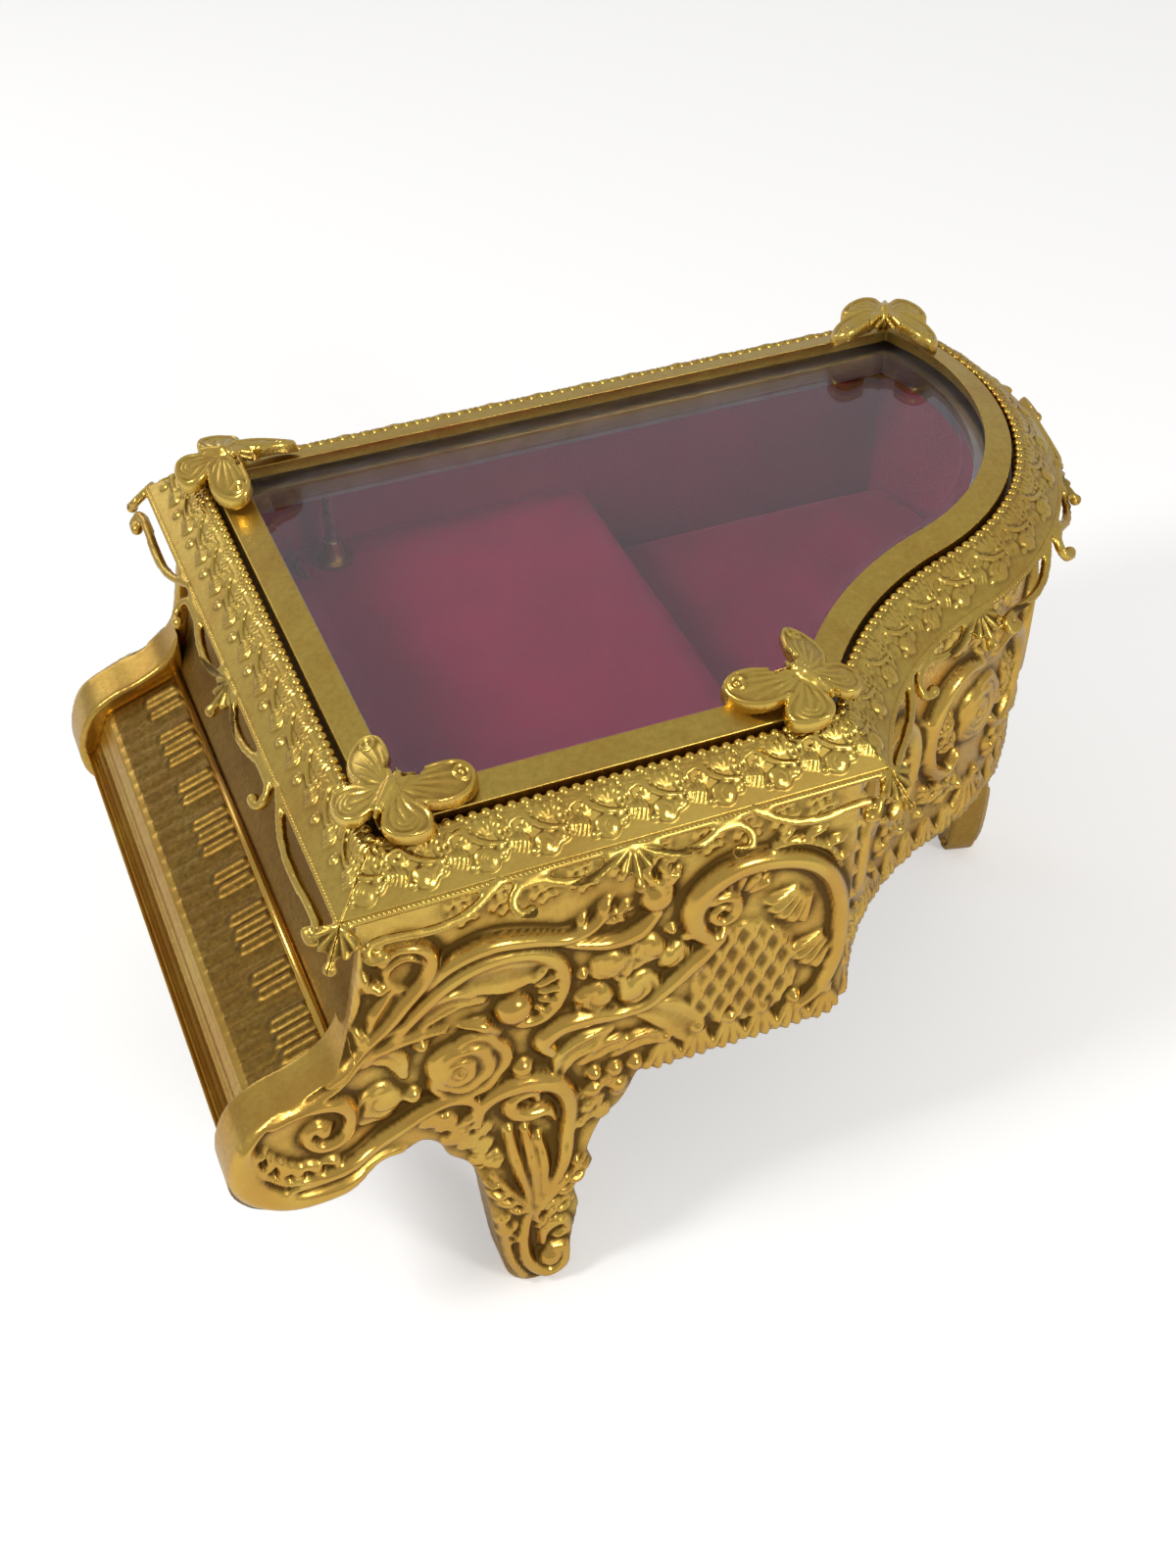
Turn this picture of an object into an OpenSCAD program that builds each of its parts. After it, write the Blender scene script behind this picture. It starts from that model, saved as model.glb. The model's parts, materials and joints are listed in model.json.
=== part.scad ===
// Rococo table casket in the shape of a small grand piano. The glazed lid is
// hinged along the straight spine, the keyboard and the two front legs stand
// at the other end, and a wind-up musical movement sits under the platform.
//
// The plan starts at the bezel's corner between keyboard and treble side:
// X runs to the tail, Y to the spine and Z up from the feet. Everything is
// moved at the end, so that the origin is under the middle of the whole box.

/* [Plan] */
// Length over the glazed bezel, keyboard end to tail
top_len = 162.5; // [150:0.5:196]
// Width over the glazed bezel, treble side to spine
top_w = 114.8; // [104:0.2:138]
// Radius of the round tail, on the bezel
tail_r = 57; // [52:0.5:62]
// Radius of the hollow in the bent side, on the bezel
bend_r = 74; // [68:0.5:80]
// Distance from the spine edge of the bezel to the tail's centre
tail_back = 26.8; // [24:0.2:32]
// Direction from the tail's centre to where hollow meets round
bend_dir = -71; // [-74:0.5:-66]

/* [Heights] */
// Top of the side walls above the feet
wall_top = 116; // [104:0.5:130]
// Underside of the base plate
base_z = 74; // [70:0.5:78]
// Thickness of the base plate
base_t = 1.6; // [1.2:0.1:2.4]
// Lowest part of the scalloped skirt
skirt_z = 51; // [46:0.5:56]
// Top of the velvet platform over the movement
platform_z = 99; // [97:0.5:101]
// Top of the pad in the tail well
well_z = 82; // [80:0.5:86]
// Top edge of the velvet wall lining
lining_top = 112; // [108:0.5:113]

/* [Walls] */
// Thickness of the cast walls
wall_t = 3; // [2.2:0.1:3.4]
// How far the walls' outer face stands outside the bezel
wall_out = 6.8; // [6.2:0.1:7.4]
// Thickness of the velvet-covered lining boards
lining_t = 2; // [1.4:0.1:2.4]
// Gap between the walls and what is fitted inside them
inside_gap = 0.2; // [0.1:0.05:0.4]

/* [Arms and legs] */
// How far the arms reach past the bezel at the keyboard end
arm_reach = 36; // [32:0.5:40]
// Thickness of the cast arms
arm_t = 9.2; // [8:0.1:10]
// How far the arms and legs stand out in front of the walls
arm_out = 2.6; // [2:0.1:3]
// Thickness of the legs
leg_t = 8.6; // [7:0.1:9]
// Direction of the tail leg from the tail's centre
tail_leg_dir = -14; // [-24:1:-6]
// Width of the raised rim along the arms
rim_w = 2.6; // [2:0.1:3]
// Height of the raised rim
rim_h = 1.1; // [0.8:0.1:1.6]

/* [Keyboard] */
// White keys
white_keys = 28; // [21:7:35]
// Front edge of the key slip, past the bezel
slip_x = -33.7; // [-35:0.1:-31]
// Top of the slip's front edge
slip_z = 59.5; // [56:0.5:62]
// Front end of the white keys
key_front_x = -28; // [-30:0.1:-26]
// Height of the white keys at their front
key_front_z = 70.5; // [69:0.1:72]
// Line where the keys meet the fallboard
key_back_x = -12.4; // [-13:0.1:-11]
// Height of the white keys at the fallboard
key_back_z = 76.2; // [75:0.1:77.5]
// Height of the black keys above the white ones
black_key_h = 1.3; // [0.8:0.1:1.8]
// Thickness of the fallboard
fallboard_t = 2.4; // [1.8:0.1:3]

/* [Lid] */
// Gap between walls and the closed lid
lid_gap = 0.2; // [0.2:0.05:0.4]
// Height of the lid from its underside to the top of the bezel
lid_h = 9.8; // [9.2:0.1:10.6]
// Width of the smooth bezel
bezel_w = 5.7; // [5:0.1:6.4]
// Thickness of the bezel
bezel_t = 1.9; // [1.6:0.1:2.2]
// Thickness of the glass
glass_t = 3.2; // [2.8:0.1:3.4]
// Width of the bevel on the glass
bevel_w = 9; // [7:0.5:11]
// Outer edge of the sloped border, from the bezel
border_out = 10.9; // [10.4:0.1:11.4]
// Inner edge of the sloped border, from the bezel
border_in = 0.9; // [0.8:0.1:1.6]
// Metal thickness of the hollow-cast border
border_t = 1.4; // [1.2:0.1:1.6]
// Radius of the milled rope along the border's edge
rope_r = 0.75; // [0.6:0.05:0.9]

/* [Fringe] */
// Thickness of the openwork fringe
fringe_t = 1.8; // [1.4:0.1:2.2]
// Downward tilt of the fringe
fringe_tilt = 50; // [40:1:56]
// Depth of the fringe along its slope
fringe_h = 8.6; // [7.6:0.1:9]
// Half width of the scrolls
scroll_w = 0.85; // [0.7:0.05:1]
// Radius of the ball ends
ball_r = 1.35; // [1.1:0.05:1.6]

/* [Hinges] */
// Radius of the hinge knuckles
knuckle_r = 1.9; // [1.7:0.1:2.1]
// Radius of the hinge pins
pin_r = 0.8; // [0.7:0.05:0.9]
// Running clearance on the hinge pins
pin_gap = 0.05; // [0.03:0.01:0.08]
// Length of each hinge
hinge_len = 24; // [20:1:30]
// Axis of the hinges below the top of the walls
hinge_drop = 7; // [6.6:0.1:7.4]

/* [Stop pin] */
// Distance of the stop pin from the keyboard end of the bezel
stop_x = 23.3; // [20:0.1:26]
// Distance of the stop pin from the spine edge of the bezel
stop_back = 5.3; // [4.6:0.1:5.8]
// Radius of the stop pin
stop_r = 1.3; // [1.1:0.1:1.5]
// Outer radius of the brass eyelet
eyelet_r = 4.3; // [3.8:0.1:4.6]

/* [Movement] */
// Radius of the pinned cylinder
cylinder_r = 6; // [5.6:0.1:6.2]
// Teeth of the comb
comb_teeth = 18; // [12:1:24]

/* [Butterflies] */
// Span of the butterflies from wing tip to wing tip
butterfly_w = 25; // [22:0.5:27]
// Tilt of the butterflies over the corners
butterfly_tilt = 9; // [6:1:14]
// Height of the butterflies' backs above the bezel
wing_rise = 4.9; // [4.6:0.1:5.4]

/* [Hidden] */
$fn = 48;

gilt = "goldenrod";
velvet = "crimson";
bare_zinc = "dimgray";

// Overall box, used to centre the part
reach = border_out + fringe_h * cos(fringe_tilt) + fringe_t * sin(fringe_tilt) / 2;
tail_short = 0.146;
mid_x = (top_len + reach - tail_short - arm_reach) / 2;
mid_y = top_w / 2;

// Walls and inside
wall_in = wall_out - wall_t;
lined = wall_in - inside_gap - lining_t;
base_top = base_z + base_t;
arm_in = wall_out + arm_out - arm_t;
board_gap = 0.1;

// Lid levels
lid_z = wall_top + lid_gap;
frame_t = 2.2;
frame_in = -7.5;
bezel_z = lid_z + lid_h - bezel_t;
seat_z = bezel_z - glass_t - 0.2;
rope_z = lid_z + 0.8;
crest_z = lid_z + lid_h - 1.6;

// Centres of the two arcs of the bent side
tail_c = [top_len - tail_r, top_w - tail_back];
bend_c = tail_c + (tail_r + bend_r) * [cos(bend_dir), sin(bend_dir)];

// ---- curves ---------------------------------------------------------------

function arc(c, r, a0, a1, n) =
    [for (i = [0:n]) c + r * [cos(a0 + (a1 - a0) * i / n), sin(a0 + (a1 - a0) * i / n)]];

// Where the hollow starts on the treble side, at distance d outside the bezel
function bend_start(d) =
    let (dy = -d - bend_c[1]) [bend_c[0] - sqrt(pow(bend_r - d, 2) - dy * dy), -d];
function bend_start_dir(d) =
    let (p = bend_start(d) - bend_c) atan2(p[1], p[0]);
function tail_end_dir(d) = asin((tail_back + d) / (tail_r + d));

BEND_STEPS = 12;
TAIL_STEPS = 20;

// The bent side from treble corner to spine corner, d outside the bezel
function bentside(d) =
    concat(arc(bend_c, bend_r - d, bend_start_dir(d), bend_dir + 180, BEND_STEPS),
           [for (i = [1:TAIL_STEPS])
               let (a = bend_dir + (tail_end_dir(d) - bend_dir) * i / TAIL_STEPS)
                   tail_c + (tail_r + d) * [cos(a), sin(a)]]);

// Closed plan outline, d outside the bezel, anticlockwise from the front left
function plan(d) = concat([[-d, -d]], bentside(d), [[-d, top_w + d]]);

// Open Catmull-Rom curve through the points p, n steps a stretch
function blend4(a, b, c, d, t) =
    0.5 * (2 * b + (c - a) * t + (2 * a - 5 * b + 4 * c - d) * t * t
           + (3 * b - a - 3 * c + d) * t * t * t);
function curve(p, n = 5) =
    let (m = len(p) - 1)
        concat([for (i = [0:m - 1], k = [0:n - 1])
                   blend4(p[max(i - 1, 0)], p[i], p[i + 1], p[min(i + 2, m)], k / n)],
               [p[m]]);
// Closed curve of the same kind
function loop(p, n = 5) =
    let (m = len(p))
        [for (i = [0:m - 1], k = [0:n - 1])
            blend4(p[(i + m - 1) % m], p[i], p[(i + 1) % m], p[(i + 2) % m], k / n)];

// Outline of a band of half width w along the path p, tapering to end_w
function band(p, w, end_w) =
    let (m = len(p) - 1,
         side = [for (i = [0:m])
                    let (t = p[min(i + 1, m)] - p[max(i - 1, 0)],
                         h = w + (end_w - w) * i / m)
                        h * [-t[1], t[0]] / norm(t)])
        concat([for (i = [0:m]) p[i] + side[i]],
               [for (i = [m:-1:0]) p[i] - side[i]]);

// ---- shapes shared by several parts -------------------------------------

module placed() translate([-mid_x, -mid_y, 0]) children();

module slab(d, z0, z1) translate([0, 0, z0]) linear_extrude(z1 - z0) polygon(plan(d));

module ring(d_out, d_in, z0, z1)
    translate([0, 0, z0]) linear_extrude(z1 - z0)
        difference() {
            polygon(plan(d_out));
            polygon(plan(d_in));
        }

// Solid between matching outlines, each a list of 3-D points
module skinned(rows) {
    n = len(rows[0]);
    m = len(rows);
    polyhedron(
        points = [for (r = rows, p = r) p],
        faces = concat(
            [[for (i = [0:n - 1]) i]],
            [for (j = [0:m - 2], i = [0:n - 1])
                let (k = (i + 1) % n) [j * n + i, (j + 1) * n + i, (j + 1) * n + k]],
            [for (j = [0:m - 2], i = [0:n - 1])
                let (k = (i + 1) % n) [j * n + i, (j + 1) * n + k, j * n + k]],
            [[for (i = [n - 1:-1:0]) (m - 1) * n + i]]));
}

// Plan point number i at distance d, on the closed outline
PLAN_LAST = BEND_STEPS + TAIL_STEPS + 2;
BENT_FIRST = 1;
BENT_LAST = PLAN_LAST - 1;
function plan_at(d, i) = plan(d)[i % (PLAN_LAST + 1)];

// The four sides of the lid in turn: treble, bent side, spine and keyboard.
// Each starts at the corner of this number on the plan.
CORNERS = [0, BENT_FIRST, BENT_LAST, PLAN_LAST];
HEADINGS = [0, 0, 180, -90];

// Mitre at a corner: its outward direction and its line on the plan
function mitre_dir(side) =
    let (v = plan_at(border_out, CORNERS[side % 4]) - plan_at(border_in, CORNERS[side % 4]))
        v / norm(v);
function mitre_line(side) =
    let (c = CORNERS[side % 4], u = mitre_dir(side))
        [plan_at(border_in, c) - 30 * u, plan_at(border_out, c) + 30 * u];

// Keeps only what lies between the mitres at the ends of a side
module mitred(side) intersection() {
    children();
    linear_extrude(2 * wall_top)
        polygon(concat(mitre_line(side),
                       side == 1 ? [[top_len + 60, -60], [top_len + 60, top_w + 60]] : [],
                       [mitre_line(side + 1)[1], mitre_line(side + 1)[0]]));
}

// Hollow section of the border: distance outside the bezel, and height
module border_section(sign, offset_d) {
    outer_low = border_out - 1.7;
    slope = (crest_z - rope_z) / (border_out - border_in);
    inner = border_in + border_t + 0.1;
    bead_r = 1;
    polygon([for (q = concat(
        [for (a = [170:-45:35]) [border_in + bead_r, crest_z] + bead_r * [cos(a), sin(a)]],
        [for (a = [110:-40:-90]) [border_out - 0.2, rope_z] + rope_r * [cos(a), sin(a)]],
        [[outer_low, rope_z - rope_r],
         [outer_low, rope_z + (border_out - outer_low) * slope - border_t],
         [inner, rope_z + (border_out - inner) * slope - border_t],
         [inner, lid_z + frame_t], [border_in, lid_z + frame_t]]))
        [offset_d + sign * q[0], q[1]]]);
}

// Straight border along a side
module border_run(side) {
    p = plan_at(0, CORNERS[side]);
    a = HEADINGS[side];
    length = norm(plan_at(0, CORNERS[(side + 1) % 4]) - p);
    translate([p[0], p[1], 0]) rotate([0, 0, a]) translate([-20, 0, 0])
        rotate([90, 0, 90]) linear_extrude(length + 45) border_section(-1, 0);
}

// Border round the hollow and the round of the bent side
module bent_border_run() {
    join = bend_dir + 180;
    translate([bend_c[0], bend_c[1], 0]) rotate([0, 0, join])
        rotate_extrude(angle = bend_start_dir(0) + 9 - join, $fn = 180) border_section(-1, bend_r);
    translate([tail_c[0], tail_c[1], 0]) rotate([0, 0, bend_dir])
        rotate_extrude(angle = tail_end_dir(border_out) + 6 - bend_dir, $fn = 180)
            border_section(1, tail_r);
}

// ---- openwork fringe -------------------------------------------------------

// Scrolls as rows of [x in mm, x as a share of the length, height]: one leaves
// the rope and ends in a hanging curl, the other curls back up to the rope
SCROLL_LONG = [[3.0, 0, -7.0], [1.4, 0, -6.8], [0.8, 0, -5.5], [2.0, 0, -4.3], [2.6, 0.1, -4.0],
               [0, 0.45, -4.6], [0, 0.65, -4.1], [0, 0.82, -2.2], [0, 0.97, 0.4]];
SCROLL_SHORT = [[2.9, 0, -6.6], [1.1, 0, -5.8], [0.7, 0, -3.7], [2.4, 0, -1.8], [0, 0.30, -1.5],
                [0, 0.52, -3.1], [0, 0.75, -3.6], [0, 0.93, -2.2], [0, 0.97, 0.4]];
SCROLL_HOLD = 0.64;

module ball() rotate([50, 20, 0]) sphere(ball_r, $fn = 24);

// Scroll held at its tangent point; bow is the edge's curvature in its plane
module scroll(shape, length, mirrored, bow) {
    path = [for (p = shape)
               let (x = p[0] + (p[1] - SCROLL_HOLD) * length)
                   [x, p[2] * fringe_h / 8.6 + bow * x * x / 2]];
    mirror([mirrored ? 1 : 0, 0, 0]) {
        linear_extrude(fringe_t, center = true)
            polygon(band(curve(path, 3), scroll_w, scroll_w * 0.9));
        translate([path[0][0] + 0.6, path[0][1] + 0.3, 0]) ball();
    }
}

// Fan of leaves with a ball at its tip
LEAF_SPREAD = 28;
module palmette() {
    linear_extrude(fringe_t, center = true)
        for (i = [-2:2]) rotate(i * LEAF_SPREAD)
            polygon(loop([[0, 0.6], [1.2, -3.4], [0, -6.4 + abs(i) * 0.7], [-1.2, -3.4]], 4));
    translate([0, -fringe_h + ball_r, 0]) ball();
}

// Where the fringe hangs, and its run along the bent side
edge_d = border_out - 0.3;
hollow_dir0 = bend_start_dir(edge_d);
hollow_len = (bend_r - edge_d) * (hollow_dir0 - bend_dir - 180) * PI / 180;
round_len = (tail_r + edge_d) * (tail_end_dir(edge_d) - bend_dir) * PI / 180;
function side_len(side) = side == 1 ? hollow_len + round_len
    : norm(plan_at(edge_d, CORNERS[(side + 1) % 4]) - plan_at(edge_d, CORNERS[side]));

function hollow_dir(s) = hollow_dir0 - s / (bend_r - edge_d) * 180 / PI;
function round_dir(s) = bend_dir + (s - hollow_len) / (tail_r + edge_d) * 180 / PI;
function on_hollow(side, s) = side == 1 && s < hollow_len;
function edge_at(side, s) =
    side != 1 ? plan_at(edge_d, CORNERS[side]) + s * [cos(HEADINGS[side]), sin(HEADINGS[side])]
    : on_hollow(side, s) ? bend_c + (bend_r - edge_d) * [cos(hollow_dir(s)), sin(hollow_dir(s))]
    : tail_c + (tail_r + edge_d) * [cos(round_dir(s)), sin(round_dir(s))];
function edge_heading(side, s) =
    side != 1 ? HEADINGS[side] : on_hollow(side, s) ? hollow_dir(s) - 90 : round_dir(s) + 90;
function edge_bow(side, s) = side != 1 ? 0
    : (on_hollow(side, s) ? -1 / (bend_r - edge_d) : 1 / (tail_r + edge_d)) * cos(fringe_tilt);

// Tilted frame on the rope edge at p: x along the heading a, y up the slope
module tilted_at(p, a)
    translate([p[0], p[1], rope_z]) rotate([0, 0, a]) rotate([fringe_tilt, 0, 0]) children();
module on_side(side, s) tilted_at(edge_at(side, s), edge_heading(side, s)) children();

// Scroll over a stretch that starts at s along a side
module side_scroll(side, s, shape, length, mirrored) {
    hold = s + length * (mirrored ? 1 - SCROLL_HOLD : SCROLL_HOLD);
    on_side(side, hold) scroll(shape, length, mirrored, edge_bow(side, hold));
}

// Long and short scroll in the bay between the stations s0 and s1
module fringe_bay(side, s0, s1, flip) {
    length = s1 - s0;
    long = length * 0.52;
    short = length - long - 5;
    if (flip) {
        side_scroll(side, s0 + 3.5, SCROLL_SHORT, short, true);
        side_scroll(side, s1 - 2 - long, SCROLL_LONG, long, true);
    } else {
        side_scroll(side, s0 + 2, SCROLL_LONG, long, false);
        side_scroll(side, s0 + long + 1.5, SCROLL_SHORT, short, false);
    }
}

// Palmette over the mitre at a corner
module corner_palmette(side)
    tilted_at(plan_at(edge_d, CORNERS[side % 4]),
              atan2(mitre_dir(side)[1], mitre_dir(side)[0]) + 90) palmette();

// Whole fringe of a side; shares are the inner stations
module fringe(side, shares, last_flip) {
    all = concat([0], shares, [1]) * side_len(side);
    n = len(all) - 1;
    for (i = [0:n - 1]) fringe_bay(side, all[i], all[i + 1], last_flip && i == n - 1);
    for (i = [1:n - 1]) on_side(side, all[i]) palmette();
    corner_palmette(side);
    corner_palmette(side + 1);
}

// ---- side walls -----------------------------------------------------------

leg_x = 22.6;

// Arm, leg and scalloped skirt of a side, from the wall's top round to the
// tail end; x along the side and z up
ARM = [[-wall_out, wall_top], [-7.3, 104], [-8.6, 97], [-10.8, 87], [-14.6, 80.2],
       [-21, 76.4], [-27, 74.4], [-32.6, 70.4], [-arm_reach + 0.23, 63], [0.6 - arm_reach, 55.6],
       [-31, 50.2], [-24, 47.6], [-16, 47.4], [-8.5, 49.2], [-3, 49.4], [1, 51.6]];
LEG = [[1, 51.6], [4.4, 48.6], [6.2, 44], [10.4, 40], [12.2, 32], [13.6, 19], [15.4, 6],
       [18, 1.2], [20, 0]];
LEG_BACK = [[26.5, 0], [28.6, 2.4], [29.7, 11], [31.2, 20], [30.4, 27], [34.4, 31.6],
            [33, 36], [36.6, 41], [41.6, 45], [45, 52.6]];

// Row of drop-shaped scallops between two points of the skirt
function scallops(x0, x1, count) =
    [for (i = [0:count - 1], k = [1:5])
        let (w = (x1 - x0) / count)
            [x0 + w * (i + k / 6), skirt_z + 2 - 2 * sin(180 * k / 6)]];

module side_outline(x1, scallop_count)
    polygon(concat(curve(ARM), curve(LEG), curve(LEG_BACK),
                   scallops(45.5, x1 - 2, scallop_count), [[x1, skirt_z + 4], [x1, wall_top]]));

// Stands a drawing of x and z up, from y = y0 to y0 + t
module stand(y0, t) translate([0, y0 + t, 0]) rotate([90, 0, 0]) linear_extrude(t) children();

// Where the base plate's screws stand: in from the wall's outer face
boss_in = wall_t + 2.4;
boss_r = 3;
screw_r = 1.1;
boss_x0 = 14;
treble_end = bend_start(wall_out)[0];
spine_end = plan_at(wall_out, BENT_LAST)[0];

// One casting: plate, thick arm with a raised rim, and leg. The wall's outer
// face lies at y = 0 here, and the arm and leg stand out in front of it, to -y.
leg_top = 41;
block_x = -wall_out - 4;
module side_casting(x1, scallop_count) {
    front = arm_out + rim_h;
    far = top_len + 100;
    difference() {
        stand(-front, front + arm_t - arm_out) side_outline(x1, scallop_count);
        // in front of the wall and behind it
        translate([block_x, -front - 1, leg_top]) cube([far, front + 1, far]);
        translate([block_x, wall_t, leg_top]) cube([far, arm_t, far]);
        // in front of the leg and behind it
        translate([0, -front - 1, -1]) cube([far, rim_h + 1, leg_top + 1]);
        translate([0, leg_t - arm_out, -1]) cube([far, arm_t, leg_top + 1]);
        // sunk field of the arm, inside its rim
        stand(-front - 1, rim_h + 1) difference() {
            translate([-arm_reach - 1, leg_top]) square([arm_reach + 1 + block_x, wall_top]);
            polygon(band([for (p = curve(ARM)) if (p[1] < 99) p], rim_w, rim_w));
        }
    }
    for (x = [boss_x0, x1 - boss_x0]) base_boss(x);
}

// Boss under the base plate, tied to the wall
module base_boss(x) translate([x, boss_in, base_z - 9]) difference() {
    union() {
        cylinder(h = 9, r = boss_r);
        translate([-boss_r, -boss_in + 1, 0]) cube([2 * boss_r, boss_in - 1, 9]);
    }
    translate([0, 0, 2]) cylinder(h = 8, r = screw_r + 0.05);
}

module treble_side_panel() color(gilt) placed()
    translate([0, -wall_out, 0]) side_casting(treble_end, 6);

module spine_side_panel() color(gilt) placed()
    translate([0, top_w + wall_out, 0]) mirror([0, 1, 0]) side_casting(spine_end, 14);

// Curved wall of the bent side and tail, with the tail leg cast in
lobe_pitch = 9;
seam = 0.02;
tail_leg_at = tail_c + (tail_r + wall_out) * [cos(tail_leg_dir), sin(tail_leg_dir)];
module bentside_panel() color(gilt) placed() {
    intersection() {
        union() {
            ring(wall_out, wall_in, skirt_z + 3, wall_top);
            hollow_step = lobe_pitch / (bend_r - wall_out) * 180 / PI;
            for (a = [bend_start_dir(wall_out) - hollow_step * 0.8:-hollow_step:bend_dir + 181])
                skirt_lobe(bend_c + (bend_r - wall_out) * [cos(a), sin(a)], a - 90);
            round_step = lobe_pitch / (tail_r + wall_out) * 180 / PI;
            for (a = [bend_dir + 3:round_step:tail_end_dir(wall_out) - round_step * 0.8])
                skirt_lobe(tail_c + (tail_r + wall_out) * [cos(a), sin(a)], a + 90);
        }
        // up to the seams with the two straight sides
        linear_extrude(wall_top + 1)
            polygon([[treble_end + seam, -wall_out - 1], [top_len + 20, -wall_out - 1],
                     [top_len + 20, top_w + wall_in - seam], [treble_end - 20, top_w + wall_in - seam],
                     [treble_end - 20, -wall_in + seam], [treble_end + seam, -wall_in + seam]]);
    }
    translate([tail_leg_at[0], tail_leg_at[1], 0]) rotate([0, 0, tail_leg_dir + 90])
        translate([-leg_x, -0.4, 0]) stand(-1.2, leg_t - 1) intersection() {
            side_outline(60, 2);
            translate([8, -1]) square([26, skirt_z + 9]);
        }
}

// Rounded lobe of the scalloped skirt, on the wall's outer face
module skirt_lobe(p, a)
    translate([p[0], p[1], skirt_z + 5]) rotate([0, 0, a]) translate([0, wall_t - 0.3, 0])
        rotate([90, 0, 0]) cylinder(h = wall_t - 0.6, r = 4.6, $fn = 32);

// ---- keyboard ---------------------------------------------------------------

key_y0 = -arm_in + board_gap;
key_span = top_w + 2 * arm_in - 2 * board_gap;
key_pitch = key_span / white_keys;
key_depth = norm([key_back_x - key_front_x, key_back_z - key_front_z]);
key_slope = atan2(key_back_z - key_front_z, key_back_x - key_front_x);
plate_t = 2.6;

// Frame on the front edge of the white keys, x along them and z off them
module on_keys() translate([key_front_x, key_y0, key_front_z]) rotate([0, -key_slope, 0]) children();

// Casting with the key slip, white keys and black keys
module keyboard_plate() color(gilt) placed() {
    difference() {
        union() {
            translate([0, key_y0 + key_span, 0]) rotate([90, 0, 0]) linear_extrude(key_span)
                polygon([[slip_x, slip_z - 4], [slip_x, slip_z], [slip_x + 1, slip_z + 1],
                         [key_front_x - 1, key_front_z - 1.2], [key_front_x, key_front_z],
                         [key_back_x, key_back_z], [key_back_x, key_back_z - plate_t],
                         [key_front_x + 1, key_front_z - plate_t], [slip_x + 3, slip_z - 4]]);
            for (u = [0.16, 0.42, 0.68, 0.92])
                translate([slip_x + 0.8 + (key_front_x - slip_x - 1) * u, key_y0,
                           slip_z + 0.6 + (key_front_z - slip_z - 1.2) * u])
                    rotate([-90, 0, 0]) cylinder(h = key_span, r = 0.9, $fn = 24);
            on_keys() for (i = [0:white_keys - 2]) if (len(search(i % 7, [0, 1, 3, 4, 5])) > 0)
                translate([0, key_span - (i + 1) * key_pitch, 0]) black_key();
        }
        on_keys() for (i = [1:white_keys - 1])
            translate([-1, i * key_pitch - 0.2, -0.5]) cube([key_depth, 0.4, 1]);
    }
}

module black_key() translate([0, 0.95, 0]) rotate([90, 0, 0]) linear_extrude(1.9)
    polygon([[key_depth * 0.42, -0.6], [key_depth * 0.42 + 0.9, black_key_h],
             [key_depth - 0.6, black_key_h], [key_depth - 0.6, -0.6]]);

// Smooth hollow board between the keys and the lid
FALL = [[key_back_x + 1.3, key_back_z + 0.1], [key_back_x + 3, key_back_z + 3],
        [-wall_out - 0.6, key_back_z + 8], [-wall_out + 0.5, key_back_z + 15],
        [-wall_out + 1, key_back_z + 24], [-wall_out + fallboard_t / 2, wall_top]];
module fallboard() color(gilt) placed() difference() {
    translate([0, top_w + wall_in - board_gap, 0]) rotate([90, 0, 0])
        linear_extrude(top_w + 2 * wall_in - 2 * board_gap)
            intersection() {
                polygon(band(curve(FALL), fallboard_t / 2, fallboard_t / 2));
                translate([key_back_x + 0.1, base_top + 0.05])
                    square([20, wall_top - base_top - 0.05]);
            }
    // notches beside the thick arms
    for (y = [-wall_in - 1, top_w + arm_in - board_gap])
        translate([key_back_x - 1, y, base_top - 1])
            cube([-wall_out - 4 + board_gap - key_back_x + 1, wall_in - arm_in + 1 + board_gap, 22]);
}

// ---- floor and lining -----------------------------------------------------

barrel_c = [51.4, 82];
barrel_r = 8.6;
// Places of the screws through the base plate, on the plan
BOSSES = [[boss_x0, boss_in - wall_out], [treble_end - boss_x0, boss_in - wall_out],
          [boss_x0, top_w + wall_out - boss_in], [spine_end - boss_x0, top_w + wall_out - boss_in]];
bed_corner = [14, 61];
bed_size = [48, 36];
MOVEMENT_SCREWS = [for (p = [[4, 5], [44, 5], [19, 32]]) bed_corner + p];
head_h = 1.2;
head_r = 2.2;

module base_plate() color(bare_zinc) placed() difference() {
    union() {
        slab(wall_in - inside_gap, base_z, base_top);
        translate([key_back_x + 1, key_y0, base_z]) cube([12, key_span, base_t]);
    }
    for (p = BOSSES) translate([p[0], p[1], base_z]) {
        translate([0, 0, -1]) cylinder(h = 5, r = screw_r + 0.2);
        translate([0, 0, base_t - head_h])
            cylinder(h = head_h + 0.01, r1 = screw_r + 0.2, r2 = head_r + 0.2);
    }
    for (p = MOVEMENT_SCREWS)
        translate([p[0], p[1], base_z - 1]) cylinder(h = 5, r = screw_r + 0.2);
    translate([barrel_c[0], barrel_c[1], base_z - 1]) cylinder(h = 5, r = arbor_r + 0.9);
}

module base_screws() color("silver") placed() for (p = BOSSES)
    translate([p[0], p[1], base_z]) {
        translate([0, 0, -6]) cylinder(h = 6 + base_t - head_h, r = screw_r);
        translate([0, 0, base_t - head_h]) cylinder(h = head_h, r1 = screw_r, r2 = head_r);
    }

platform_x = 84;
board_t = 2;
stop_c = [stop_x, top_w - stop_back];

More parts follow.
